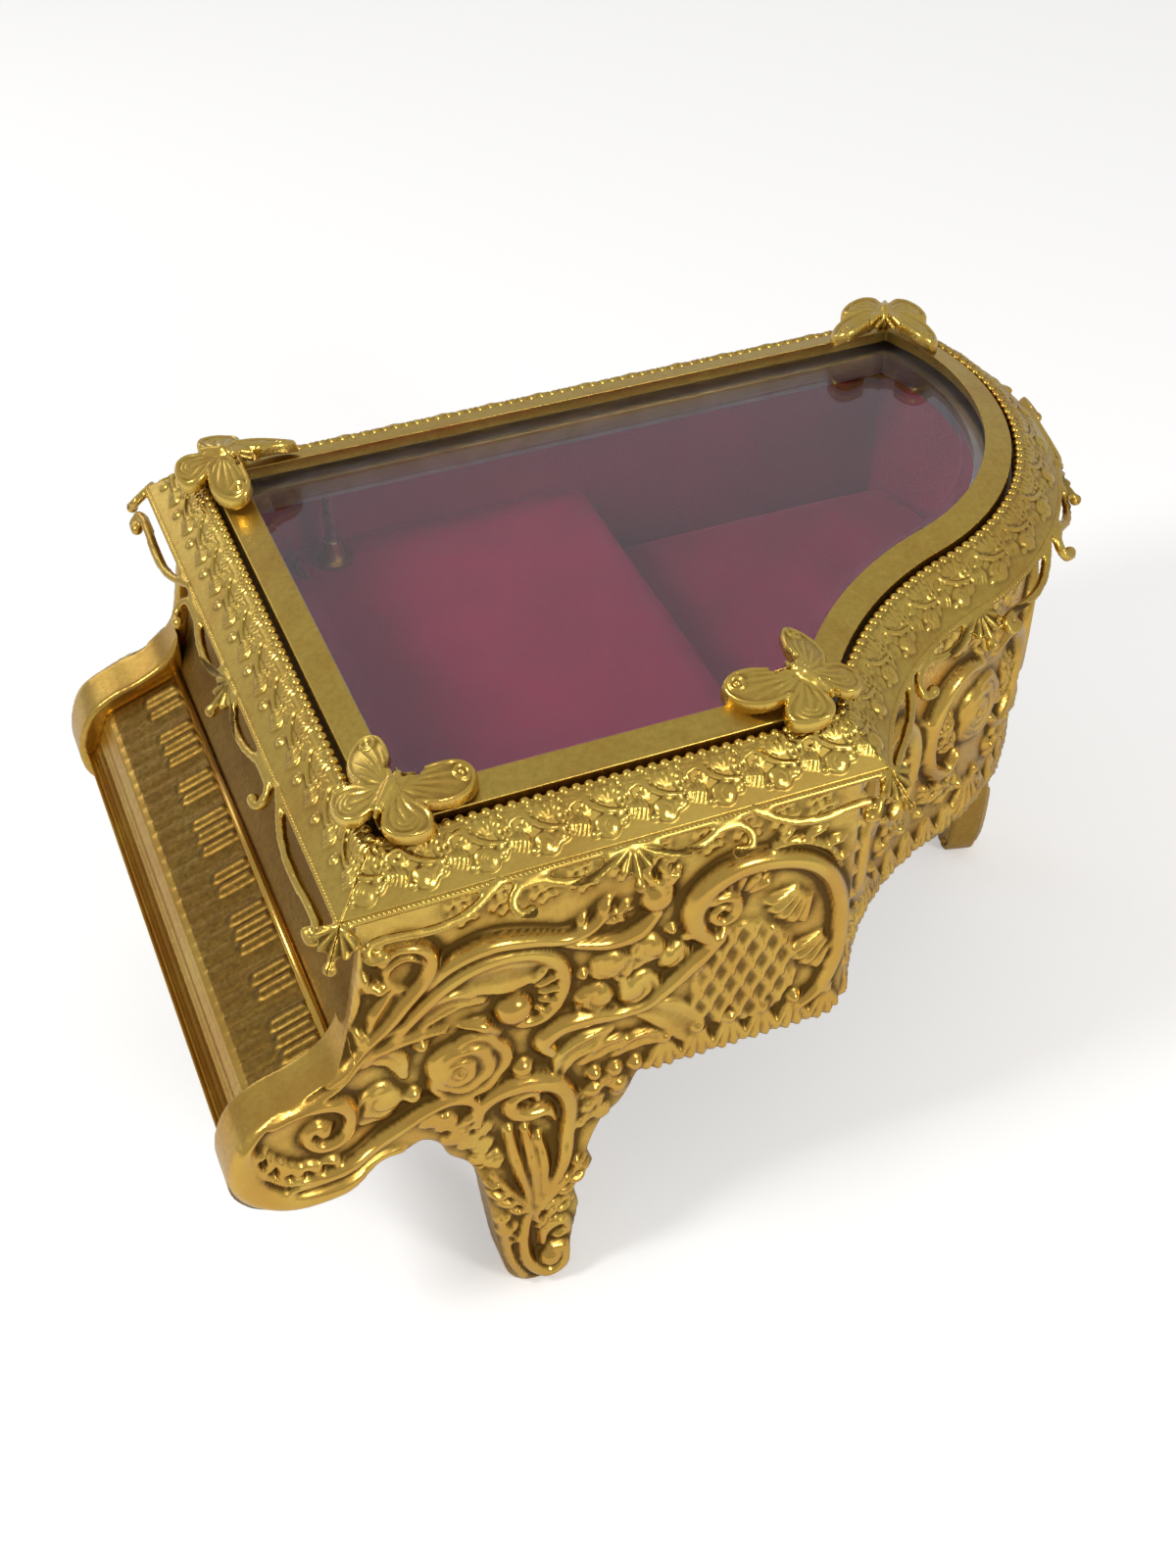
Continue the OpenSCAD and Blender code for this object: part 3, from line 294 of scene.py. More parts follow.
def smooth_path(points):
    """Catmull-Rom curve through the points."""
    p = np.asarray(points, float)
    p = np.vstack([2 * p[0] - p[1], p, 2 * p[-1] - p[-2]])
    out = []
    for a, b, c, d in zip(p, p[1:], p[2:], p[3:]):
        for t in np.arange(0, 1, 1 / max(2, round(math.dist(b, c) / PATH_STEP))):
            out.append(0.5 * (2 * b + (c - a) * t + (2 * a - 5 * b + 4 * c - d) * t ** 2
                              + (3 * b - a - 3 * c + d) * t ** 3))
    return np.array(out + [p[-2]])


def spiral(centre, r0, r1, start, turns):
    """Points of a volute from radius r0 to r1; turns is negative clockwise."""
    out = []
    for share in np.arange(19) / 18:
        a = math.radians(start) + 2 * math.pi * turns * share
        r = r0 * (r1 / r0) ** share
        out.append((centre[0] + r * math.cos(a), centre[1] + r * math.sin(a)))
    return out


def blur(heights, cells):
    """Two passes of a running mean over 2 cells + 1 samples each way."""
    for _ in range(2):
        for axis in (0, 1):
            padded = np.pad(heights, [(cells + 1, cells) if k == axis else (0, 0) for k in (0, 1)],
                            mode="edge")
            total = np.cumsum(padded, axis=axis)
            n = 2 * cells + 1
            first, last = [slice(None)] * 2, [slice(None)] * 2
            first[axis], last[axis] = slice(n, None), slice(None, -n)
            heights = (total[tuple(first)] - total[tuple(last)]) / n
    return heights


# Meshes of a diaper: their run along u and v, and their height, in mm
NET_U, NET_V, NET_HIGH = 4.2, 8.2, 1.5


class Relief:
    """Heights in mm over a drawing in mm, built from overlapping ornaments."""

    def __init__(self, u0, u1, v0, v1, pitch=0.25):
        self.u0, self.v0, self.pitch = u0, v0, pitch
        self.u, self.v = np.meshgrid(np.arange(u0, u1, self.pitch),
                                     np.arange(v0, v1, self.pitch), indexing="ij")
        self.h = np.zeros_like(self.u)

    def window(self, low, high):
        """Samples between two corners of the drawing."""
        a = np.maximum(((np.asarray(low) - (self.u0, self.v0)) / self.pitch).astype(int), 0)
        b = ((np.asarray(high) - (self.u0, self.v0)) / self.pitch).astype(int) + 2
        return slice(a[0], max(b[0], a[0])), slice(a[1], max(b[1], a[1]))

    def around(self, centre, r):
        """Window of r round a centre, and the samples' distances from it along u and v."""
        part = self.window(np.subtract(centre, r), np.add(centre, r))
        return part, self.u[part] - centre[0], self.v[part] - centre[1]

    def put(self, part, heights):
        """Adds an ornament: the higher of two surfaces stays."""
        self.h[part] = np.maximum(self.h[part], heights)

    def band(self, points, widths, height, form="round"):
        """Moulding along a curve, with half widths that change along it."""
        path = smooth_path(points)
        along = np.linspace(0, 1, len(path))
        width = np.interp(along, np.linspace(0, 1, len(widths)), widths)
        part = self.window(path.min(0) - width.max(), path.max(0) + width.max())
        u, v = self.u[part][..., None], self.v[part][..., None]
        if not u.size:
            return
        q = np.sqrt((u - path[:, 0]) ** 2 + (v - path[:, 1]) ** 2) / width
        near = q.argmin(-1)
        q = np.minimum(np.take_along_axis(q, near[..., None], -1)[..., 0], 1)
        if form == "round":
            f = np.sqrt(1 - q ** 2)
        elif form == "groove":
            f = np.sqrt(1 - q ** 2) * (1 - 0.5 * np.exp(-(q / 0.2) ** 2))
        else:  # trough between two raised edges
            f = (0.4 + 0.6 * q ** 2) * np.sqrt(1 - q ** 8)
        self.put(part, height * f * (width / width.max())[near] ** 0.6)

    def bands(self, drawn, form="round"):
        """Mouldings of one form, each with its points, half widths and height."""
        for points, widths, height in drawn:
            self.band(points, widths, height, form)

    def pearl(self, centre, r, height):
        """Half ball, pressed to its height."""
        part, du, dv = self.around(centre, r)
        self.put(part, height * np.sqrt(np.maximum(0, 1 - (np.hypot(du, dv) / r) ** 2)))

    def petals(self, centre, r, count, height, turn):
        """Flower of cupped petals round a ball; turn is in degrees."""
        part, du, dv = self.around(centre, r)
        a = np.arctan2(dv, du) - math.radians(turn)
        split = np.abs(np.cos(count * a / 2))
        q = np.minimum(np.hypot(du, dv) / r / (0.84 + 0.16 * split), 1)
        f = (0.35 + 0.65 * q) * np.sqrt(1 - q ** 8) * (0.72 + 0.28 * split)
        self.put(part, height * 0.9 * f)
        self.pearl(centre, 0.3 * r, height)

    def rose(self, centre, r, height, way=-1):
        """Cabbage rose: cups one in the other, each shifted to the way side of the last."""
        cups = ((1.0, 0, 0.2), (0.72, 0.12, 0.42), (0.4, 0.26, 0.62))
        for k, (size, shift, lift) in enumerate(cups):
            middle = (centre[0] + way * shift * r, centre[1] + 0.3 * shift * r)
            part, du, dv = self.around(middle, r)
            lobe = 0.9 + 0.1 * np.abs(np.cos(2.5 * np.arctan2(dv, du) + 0.8 * k))
            q = np.minimum(np.hypot(du, dv) / (r * size * lobe), 1)
            self.put(part, height * (lift + 0.42 * q ** 4) * np.sqrt(1 - q ** 14))
        self.pearl(middle, 0.17 * r, height * 0.98)

    def cup(self, centre, r, height):
        """Round hollow in a raised rim."""
        part, du, dv = self.around(centre, r)
        q = np.minimum(np.hypot(du, dv) / r, 1)
        self.put(part, height * (0.12 + 0.88 * q ** 5) * np.sqrt(1 - q ** 12))

    def shell(self, centre, r0, r1, a0, a1, ribs, height):
        """Fan of ribs between two angles in degrees, with a scalloped rim."""
        part, du, dv = self.around(centre, r1)
        share = (np.degrees(np.arctan2(dv, du)) - a0) % 360 / (a1 - a0)
        rib = np.abs(np.sin(math.pi * ribs * share))
        q = (np.hypot(du, dv) - r0) / ((r1 - r0) * (0.82 + 0.18 * rib))
        inside = (share <= 1) & (q > 0) & (q < 1)
        side = np.minimum(1, np.sqrt(np.maximum(0, np.minimum(share, 1 - share) * 8)))
        f = rib ** 0.6 * (0.45 + 0.55 * q) * np.sqrt(np.maximum(0, 1 - q ** 6)) * side
        self.put(part, np.where(inside, height * f, 0))

    def leaf(self, points, width, lobes, height, sides=(1, -1)):
        """Acanthus leaf: lobes that bend towards the tip along a midrib."""
        path = smooth_path(points)
        n = len(path) - 1
        for k in range(lobes):
            t = (k + 0.35) / lobes
            i = min(int(t * n), n - 1)
            along = (path[i + 1] - path[i]) / math.dist(path[i + 1], path[i])
            size = width * math.sin(math.pi * (0.22 + 0.72 * t))
            for side in sides:
                out = side * np.array([-along[1], along[0]])
                tip = path[i] + (0.9 * out + 0.75 * along) * size
                mid = path[i] + (0.6 * out + 0.25 * along) * size
                hook = tip + (-0.05 * out + 0.25 * along) * size
                self.band([path[i], mid, tip, hook], size * np.array([0.12, 0.3, 0.26, 0.1]),
                          height * (0.75 + 0.25 * t), "groove")
        self.band(points, [0.16 * width, 0.2 * width, 0.08 * width], height)

    def net(self, region):
        """Diaper of slanting ribs over a region, with a pearl where they cross."""
        edge = np.asarray(region, float)
        part = self.window(edge.min(0), edge.max(0))
        u, v = self.u[part], self.v[part]
        inside = np.zeros(u.shape, bool)
        for (ua, va), (ub, vb) in zip(edge, np.roll(edge, -1, 0)):
            cut = (va > v) != (vb > v)
            inside ^= cut & (u < (ub - ua) * (v - va) / (vb - va + 1e-9) + ua)
        across, up = u / NET_U, v / NET_V
        a, b = across + up, across - up
        near_a, near_b = a - np.round(a), b - np.round(b)
        rib = np.maximum(np.exp(-(near_a / 0.13) ** 2), np.exp(-(near_b / 0.13) ** 2))
        pearl = np.exp(-((near_a + near_b) / 0.2) ** 2 - ((near_a - near_b) / 0.2) ** 2)
        self.put(part, np.where(inside, NET_HIGH * (0.25 + 0.5 * rib + 0.6 * pearl), 0))

    def at(self, u, v, data):
        """Values of some data over the drawing at points, read between the samples."""
        x = np.clip((np.asarray(u) - self.u0) / self.pitch, 0, data.shape[0] - 1.001)
        y = np.clip((np.asarray(v) - self.v0) / self.pitch, 0, data.shape[1] - 1.001)
        i, j = x.astype(int), y.astype(int)
        x, y = x - i, y - j
        return ((1 - x) * (1 - y) * data[i, j] + x * (1 - y) * data[i + 1, j]
                + (1 - x) * y * data[i, j + 1] + x * y * data[i + 1, j + 1])


# ---- drawings of the walls: u along, v up, in mm ----------------------------

# Middle of a front leg, and direction of the tail leg from the tail's centre in degrees
LEG_U, TAIL_LEG_DIR = 22.6, -14
# Half widths of a C scroll along its length
SCROLL_WIDTHS = (1.2, 1.9, 2.2, 2.2, 2.0, 1.6, 1.2)


def moved(points, u, way=1):
    """Points of a drawing round u = 0, taken to another u and turned over by way = -1."""
    return [(u + way * x, v) for x, v in points]


def draw_pearls(r, height, pearls):
    """Pearls of one height, each with its u, v and radius."""
    for u, v, size in pearls:
        r.pearl((u, v), size, height)


def draw_foot(r, mid, top):
    """Long leaves down a leg and its scrolled foot."""
    for lean, drop in ((0, 0), (3.2, 1), (5.8, 4.4)):
        r.band(moved([(lean - 5, top - drop), (0.9 * lean - 4, 39), (0.6 * lean - 2.6, 31),
                      (0.2 * lean - 1.6, 23)], mid), [1.1, 1.3, 1.0, 0.6], 1.9)
    r.leaf(moved([(-0.2, 25), (4.4, 30.6), (10, 35.4)], mid), 3.8, 4, 2.6)
    r.leaf(moved([(-0.6, 18.6), (3.4, 24), (7.8, 26.6)], mid), 3.2, 3, 2.4)
    r.band(moved([(-2.2, 24), (-3.6, 16), (-2.8, 8.4), (0.8, 3.4), (4.6, 4.8), (5, 9.4),
                  (2, 10.8)], mid), [0.8, 1.2, 1.4, 1.6, 1.6, 1.5, 1.1], 2.2)
    r.pearl((mid + 1.8, 8.2), 2.6, 3.0)
    r.band(moved([(-8, 24), (-7.2, 17), (-6, 9.4), (-3.6, 3.2)], mid), [0.7, 0.9, 0.9, 0.8], 1.3)


def draw_arm_and_leg(r):
    """Scrolled arm and cabriole leg, which both straight sides share."""
    # rolled rim of the arm and the line inside it
    r.band([(-8, 108), (-8.6, 100), (-11.5, 91), (-17.5, 84), (-26, 78.6), (-32.3, 72),
            (-33.4, 64), (-31, 56), (-25, 51), (-17, 50), (-8, 51.6), (-3, 51.4)],
           [1.2, 1.6, 2.4, 3.6, 3.7, 3.4, 3.2, 3.2, 2.6, 2, 1.4, 0.8], 2.3)
    r.band([(-4, 85), (-9, 80.5), (-16, 77.2), (-23, 75)], [0.5, 0.9, 0.9, 0.5], 1.5)
    # curl inside the arm
    r.band([(-27, 73), (-21, 75.2), (-15, 73.6), (-12.4, 69), (-14, 64.4), (-18.4, 63.2),
            (-21, 66), (-19.4, 69), (-17, 68)],
           [0.9, 1.4, 1.7, 1.9, 1.8, 1.6, 1.4, 1.2, 1.1], 2.4)
    # leaf along the lower rim
    r.leaf([(-14, 56.6), (-20, 55.6), (-26, 57), (-30, 62), (-30.4, 68)], 4.6, 6, 2.3, (-1,))
    r.band([(-26, 53.6), (-20, 54.6), (-14, 55.8), (-8, 57), (-3, 59), (2, 61.4), (6.5, 62.2),
            (10.4, 60.2), (11.6, 56.8), (9.6, 54.6)],
           [0.6, 1.2, 1.6, 1.8, 1.8, 1.7, 1.6, 1.5, 1.3, 1.1], 2.6)
    # flower, rose, buds and long leaves between the arm and the great scroll
    r.rose((-7, 67), 5, 2.8, 1)
    r.rose((10.6, 69.6), 8.7, 4.0)
    draw_pearls(r, 2.2, [(-17.8, 67.4, 1.7), (20.9, 64.4, 2.3), (2, 79, 1.6)])
    draw_pearls(r, 2.0, [(-0.3, 66.2, 1.9)])
    draw_pearls(r, 3.3, [(19.6, 81.4, 3.8)])
    r.bands([
        ([(-14, 78.8), (-5, 82.8), (2, 85.8), (8, 88), (14, 85.4)], [0.5, 1.3, 2.3, 2.6, 0.8], 2.8),
        ([(-10, 78.6), (-6, 79.2), (-2.8, 77), (-1.4, 71.6)], [0.6, 1.9, 2.0, 0.8], 2.4),
        ([(7, 91.8), (12.6, 91), (18.4, 90.4), (24, 89.6)], [1.0, 3.0, 4.2, 2.6], 2.5),
        ([(-2, 93.6), (-4.2, 89.4), (-7, 84.8)], [1.6, 2.7, 1.2], 2.5)], "trough")
    r.bands([
        ([(-9, 79.6), (-3, 81.8), (2.4, 82.4), (6.6, 80.8)], [0.5, 1.3, 1.6, 0.7], 2.5),
        ([(9.6, 80.6), (13.4, 79.6), (17, 76)], [0.5, 1.6, 0.6], 2.5),
        ([(-8.6, 102.6), (-7.4, 99.4), (-6.6, 96)], [0.6, 1.5, 0.6], 2.2),
        ([(-6.4, 98.4), (-4.6, 96.4), (-2.4, 95.8)], [0.5, 1.4, 0.5], 2.4),
        ([(-9.8, 88), (-8.6, 85), (-9.6, 82)], [0.5, 1.4, 0.5], 2.1),
        ([(-16, 79), (-9.4, 82.8), (-4.2, 86.8), (0, 91.8), (3.6, 96.2), (5, 100.6),
          (3, 104.2), (-1.2, 105.2), (-3.8, 102.4)],
         [0.7, 1.0, 1.2, 1.4, 1.5, 1.6, 1.6, 1.4, 1.0], 2.8)])
    r.cup((0.3, 98.2), 4.0, 2.5)
    # leg: volute at its head, flowers inside the knee, long leaves down to the foot
    r.band([(11.6, 52.4), (12.6, 57.6), (16.8, 60.6), (22.4, 60.4), (27.4, 57.2), (29.8, 51.4),
            (29.6, 44), (27.6, 36), (24.6, 29.4), (22, 23)],
           [1.2, 1.9, 2.6, 2.5, 2.2, 1.9, 1.6, 1.4, 1.2, 0.8], 3.0)
    r.band([(27, 47), (25.2, 51), (21.4, 51.6), (18.4, 53.6), (18.8, 57), (22.6, 57.2),
            (23.6, 54.8)], [0.8, 1.5, 1.9, 2.0, 1.6, 1.3, 1.1], 2.8)
    for u, v, size in ((2.6, 57.4, 1.8), (5.6, 55.4, 2), (8.4, 52.2, 2), (6.4, 50, 1.6),
                       (9.6, 48, 1.9), (12.6, 50.2, 1.7), (12.4, 45.6, 1.8), (11.4, 42, 1.5),
                       (14.4, 41.4, 1.6)):
        r.petals((u, v), size * 1.25, 5, size * 0.95, 40 * size)
    draw_foot(r, LEG_U, 48)
    r.leaf([(20.6, 24), (18, 30), (14.4, 36), (13.4, 38.6)], 3.6, 4, 2.4, (1,))
    r.leaf([(18.6, 15), (16, 20), (14.6, 25.6)], 2.2, 3, 1.6)
    r.band([(23, 12.8), (23.6, 17.2), (27, 18.6), (28.4, 15), (26, 13.6)],
           [0.8, 1.2, 1.2, 1, 0.8], 1.9)


def draw_side(r, end):
    """Scrolls, flowers and diaper of a straight side that ends at u = end."""
    draw_arm_and_leg(r)
    # great scroll over the rose, with ribs round its berry
    r.band([(-8.6, 78.6), (-3.6, 82.2), (1.6, 88), (7, 92.8), (13, 95.4), (19.6, 95.6),
            (25.4, 93.2), (29, 88), (28.8, 82), (25.4, 77.4), (20.8, 77.2), (18.8, 80.4)],
           [0.7, 1.1, 1.6, 1.9, 2.0, 2.0, 1.9, 1.8, 1.7, 1.6, 1.5, 1.3], 2.5)
    for a in np.radians(np.arange(52, -45, -24)):
        r.band([(20.6 + 4.4 * math.cos(a), 83 + 4.4 * math.sin(a)),
                (20.6 + 7.6 * math.cos(a), 83.4 + 7.6 * math.sin(a))], [0.5, 0.8], 2.2)
    r.band([(3.6, 93.4), (8.6, 98), (15.6, 99.8), (23, 98.2), (30, 95.8), (35.4, 97.4),
            (37.4, 100.8)], [1.0, 1.8, 2.1, 1.9, 1.6, 1.5, 1.1], 3.0)
    # ribbon under the flowers, the strap that drops to the skirt, and leaves beside it
    r.band([(26.6, 66.4), (25, 70), (28.4, 73.2), (34, 73.2), (40, 71.8), (45.6, 72),
            (50.6, 75.6), (55.4, 80), (60, 84)],
           [1.4, 2.2, 2.4, 1.9, 1.5, 1.6, 1.9, 2.2, 1.6], 2.8)
    r.bands([
        ([(44, 70.6), (50, 67), (54.4, 61.6), (57.4, 55)], [1.6, 3.6, 3.6, 1.8], 1.5),
        ([(27.6, 57), (29.4, 63.6), (33.8, 66), (38.6, 67)], [0.6, 2.2, 2.6, 0.7], 2.5),
        ([(33, 60), (36.6, 63), (40, 63.4), (42.6, 61.6)], [0.6, 1.8, 1.8, 0.7], 2.5),
        ([(39.6, 59.4), (43, 62.4), (47.6, 61.6), (50.6, 58.6)], [0.6, 2.0, 1.7, 0.6], 2.5)],
        "trough")
    draw_pearls(r, 2, [(35.2, 56.4, 1.7), (39.4, 56, 1.9), (43.6, 55.8, 1.8), (40.2, 51.2, 2),
                       (35, 52, 1.9), (33.6, 47.8, 1.9), (32, 44.2, 1.6)])
    # bouquet over the ribbon
    for centre, size, way in (((35.2, 77.4), 4.1, 1), ((44, 76.6), 4.4, -1), ((38.2, 85), 3.8, 1),
                              ((45.6, 86.2), 3.8, 1), ((51, 82.6), 3.4, -1)):
        r.rose(centre, size, 2.9, way)
    draw_pearls(r, 1.7, [(33, 84.6, 1.25), (41.6, 82.2, 1.25), (42.4, 90, 1.25),
                         (50.4, 89.6, 1.25), (53.4, 86.8, 1.25), (32.6, 78.6, 1.25)])
    r.leaf([(40.4, 79), (42, 83), (42.6, 88)], 2.8, 3, 1.8)
    r.band([(28, 94.4), (33, 92.4), (38.6, 90.9), (44, 92), (47.6, 95.6)],
           [0.6, 1.2, 1.6, 2.1, 1.4], 2.3)
    r.leaf([(32, 96), (37.4, 98.6), (42.6, 97.4)], 3.2, 3, 2.4)
    r.pearl((47.4, 99), 3.4, 2.7)
    r.leaf([(47.4, 99), (48, 103), (50, 105.6)], 3.4, 3, 2.6)
    # rocaille swirl and its long sweep round the diaper
    r.band([(58.4, 83.6), (55.4, 87.6), (54.6, 93), (57.2, 98), (62.6, 100.8), (69.6, 100.4),
            (76.4, 97.6), (81.6, 92.4), (84.6, 85), (85.4, 77), (84.8, 69), (82.4, 62), (78, 58)],
           [1.6, 2.4, 2.8, 2.9, 2.6, 2.3, 2.0, 1.9, 1.9, 1.9, 1.8, 1.6, 1.2], 3.0)
    r.band(spiral((60, 91), 4.4, 1.1, 120, -1.3), [1.5, 1.4, 1.2, 1.0], 2.8)
    r.shell((63, 91.4), 3, 8.4, 20, 120, 4, 2.6)
    r.shell((80, 92), 4.4, 11.4, 188, 262, 5, 2.6)
    r.shell((86, 78), 4.4, 12, 192, 262, 5, 2.4)
    r.leaf([(70, 103.4), (76, 102.6), (81.6, 98.6), (84.6, 92.6)], 3.4, 4, 2.2, (1,))
    r.net([(55.6, 79), (60, 86), (68, 85), (75.6, 78), (77, 66), (72, 59), (62, 58), (55, 66)])
    # lobes of the skirt, and the flowers where it meets the leg
    for u in np.arange(49.6, end - 1, 6.8):
        r.shell((u, 61.4), 1.4, 9.6, 236, 304, 4, 2.3)
        r.pearl((u, 60.8), 1.5, 2.0)
    for u, v in ((32.6, 51), (35.4, 48.4), (33.4, 45.4), (38, 53.2), (36.6, 44.6), (40.4, 49.6),
                 (30.8, 47.4)):
        r.petals((u, v), 2.1, 5, 1.7, 15 * u)
    # row of small leaves under the lid
    for first, last, tip in ((10, 54, 105.4), (56, end - 2, 106)):
        for u in np.arange(first, last, 7.4):
            r.leaf([(u, 113), (u + 1, 109.6), (u + 2.6, tip)], 2.6, 3, 1.6)


def rose_in_scrolls(r, mid, rose, reach, leaves, shell=9, widths=SCROLL_WIDTHS, height=2.8,
                    lobes=(4.0, 4, 2.4)):
    """Rose between two C scrolls, with a leaf under each and a shell below."""
    r.rose((mid, 84), *rose)
    for s in (-1, 1):
        r.band(moved(zip(reach, (97, 98.6, 94, 86, 77.6, 73, 76)), mid, s), widths, height)
        r.leaf(moved(zip(leaves, (66, 70, 70)), mid, s), *lobes)
    r.shell((mid, 66.5), 2, shell, 225, 315, 5, 2.6)


def draw_long_side(r, end):
    """The spine repeats the treble side and carries its garland on to the tail."""
    draw_side(r, end)
    rose_in_scrolls(r, 101, (8.4, 3.4), (2, 8, 12, 13.6, 12, 7.6, 5), (3, 7, 12.6))
    r.net([(116, 96), (124, 92), (131, 84), (130, 72), (122, 64), (116, 72)])
    r.band([(113, 100), (121, 100.4), (129, 96), (134, 87), (134, 76), (130, 66), (124, 60)],
           [1.4, 2.0, 2.2, 2.2, 2.0, 1.8, 1.2], 2.8)
    rose_in_scrolls(r, 147, (7.0, 3.2), (2, 6, 9, 10.2, 9, 6, 4), (2, 5, 9.6), 9,
                    (1.2, 1.7, 1.9, 1.9, 1.8, 1.5, 1.1), 2.6, (3.4, 4, 2.2))


def draw_bent_side(r, leg_u):
    """Garland of scrolls, roses and diapers round the hollow and the tail, and the tail leg."""
    end = r.u[-1, 0] - 4
    for k, u in enumerate(np.arange(4, end - 30, 41.0)):
        flip = 1 if k % 2 == 0 else -1
        mid = u + 20
        rose_in_scrolls(r, mid, (8.2, 3.2), (2, 9, 15, 17.6, 16, 10.6, 7), (7, 11, 17.6), 11)
        for s in (-1, 1):
            r.leaf(moved([(9, 79), (12.6, 84), (12, 90)], mid, s), 3.4, 4, 2.2)
            r.petals((mid + s * 10.4, 106), 2.6, 5, 1.8, 20)
        r.shell((mid, 94.4), 1.4, 9.4, 50, 130, 5, 2.4)
        r.leaf(moved([(-4, 103), (2, 105.6), (7, 104)], mid, flip), 2.8, 3, 1.8)
        r.net(moved([(19, 92), (22, 92), (24.4, 84), (22, 76), (19, 76), (17.4, 84)], mid))
    for u in np.arange(5, end, 6.6):
        r.shell((u, 62.4), 1.4, 9.0, 236, 304, 4, 2.1)
        r.pearl((u + 3.3, 65), 1.3, 1.6)
        r.leaf([(u, 113), (u + 1, 109.6), (u + 2.6, 106)], 2.6, 3, 1.5)
    for v in np.arange(64, 112, 6.2):
        r.pearl((1.6, v), 1.0, 1.3)
    # leg: scrolls at its head, one long scroll down it, leaves and foot
    for s in (-1, 1):
        r.band(moved([(9, 52.6), (8.4, 57.6), (4.4, 60.4), (1, 58)], leg_u, s),
               [1.2, 2.0, 2.2, 1.4], 2.6)
    r.band(moved([(7.2, 51.4), (7, 44), (5, 36), (2, 29.4), (-0.6, 23)], leg_u),
           [1.8, 1.6, 1.4, 1.2, 0.8], 2.6)
    draw_foot(r, leg_u, 50)
    r.leaf(moved([(-2, 24), (-4.6, 30), (-8.2, 36)], leg_u), 3.6, 4, 2.4)


def leg_station(wall):
    """Distance along the bent side to the middle of the tail leg."""
    at = TAIL_C + (TAIL_R + WALL_OUT) * compass(TAIL_LEG_DIR)
    return float(wall.locate(np.array([[*at, 0.0]]))[0][0])


# ---- walls ------------------------------------------------------------------

# Plan sizes of the frame, in mm from the corner of the bezel
LENGTH, WIDTH = 162.5, 114.8
TAIL_R, BEND_R, TAIL_BACK, BEND_DIR = 57.0, 74.0, 26.8, -71.0
# The walls' outer faces lie this far outside the bezel
WALL_OUT = 6.8
# Straight pieces that stand for the arc of the hollow and the arc of the tail
HOLLOW_STEPS, ROUND_STEPS = 42, 96
TAIL_C = np.array([LENGTH - TAIL_R, WIDTH - TAIL_BACK])


def compass(degrees):
    """Direction in the plan at an angle from +X."""
    return np.array([math.cos(math.radians(degrees)), math.sin(math.radians(degrees))])


BEND_C = TAIL_C + (TAIL_R + BEND_R) * compass(BEND_DIR)


def bent_side(out, more=0):
    """Plan of the hollow and the round side, out mm outside the bezel, from treble to spine."""
    hollow, round_r = BEND_R - out, TAIL_R + out
    start = math.degrees(math.atan2(-out - BEND_C[1],
                                    -math.sqrt(hollow ** 2 - (-out - BEND_C[1]) ** 2)))
    end = math.degrees(math.asin((TAIL_BACK + out) / round_r))
    points = []
    for centre, r, first, last, steps in (
            (BEND_C, hollow, start + more, BEND_DIR + 180, HOLLOW_STEPS),
            (TAIL_C, round_r, BEND_DIR, end + more, ROUND_STEPS)):
        points += [centre + r * compass(a) for a in np.linspace(first, last, steps + 1)]
    # the two arcs meet in one point
    del points[HOLLOW_STEPS]
    return points


# Points that are compared with a plan line at a time
BATCH = 20000


class Wall:
    """Upright surface over a plan line: u along it, v up and d out of it, in mm."""

    def __init__(self, points, side=1):
        self.p = np.asarray(points, float)
        self.run = np.diff(self.p, axis=0)
        self.size = np.linalg.norm(self.run, axis=1)
        self.u = np.concatenate([[0], np.cumsum(self.size)])
        along = self.run / self.size[:, None]
        face = side * np.stack([along[:, 1], -along[:, 0]], -1)
        mean = np.vstack([face[:1], face[:-1] + face[1:], face[-1:]])
        self.out = mean / np.linalg.norm(mean, axis=1)[:, None]

    def way_out(self, k, share):
        """Way out at a share of piece k, turned evenly from corner to corner."""
        mixed = np.clip(share, 0, 1)[:, None]
        way = self.out[k] * (1 - mixed) + self.out[k + 1] * mixed
        return way / np.linalg.norm(way, axis=1)[:, None]

    def locate(self, points):
        """u, v, d and the outward direction for points in mm."""
        u, d = np.empty(len(points)), np.empty(len(points))
        out = np.zeros((len(points), 3))
        last = len(self.run) - 1
        for first in range(0, len(points), BATCH):
            part = slice(first, first + BATCH)
            to = points[part, None, :2] - self.p[None, :-1]
            t = (to * self.run).sum(-1) / self.size ** 2
            held = np.clip(t, 0, 1)
            gap = np.linalg.norm(to - held[..., None] * self.run, axis=-1)
            k = gap.argmin(1)
            rows = np.arange(len(k))
            # the line runs on past its two ends
            share = np.clip(t[rows, k], np.where(k == 0, -9, 0), np.where(k == last, 9, 1))
            way = self.way_out(k, share)
            u[part] = self.u[k] + share * self.size[k]
            d[part] = ((points[part, :2] - self.p[k] - share[:, None] * self.run[k]) * way).sum(1)
            out[part, :2] = way
        return u, points[:, 2].copy(), d, out

    def plan(self, u, d):
        """Points on the plan, d out of the line, and the way out there."""
        u, d = np.atleast_1d(u), np.atleast_1d(d)
        k = np.clip(np.searchsorted(self.u, u) - 1, 0, len(self.run) - 1)
        share = (u - self.u[k]) / self.size[k]
        way = self.way_out(k, share)
        return self.p[k] + share[:, None] * self.run[k] + d[:, None] * way, way

    def place(self, u, v, d):
        """A point over the surface, and the way out there."""
        at, way = self.plan(u, d)
        return Vector((*at[0], v)), Vector((*way[0], 0))


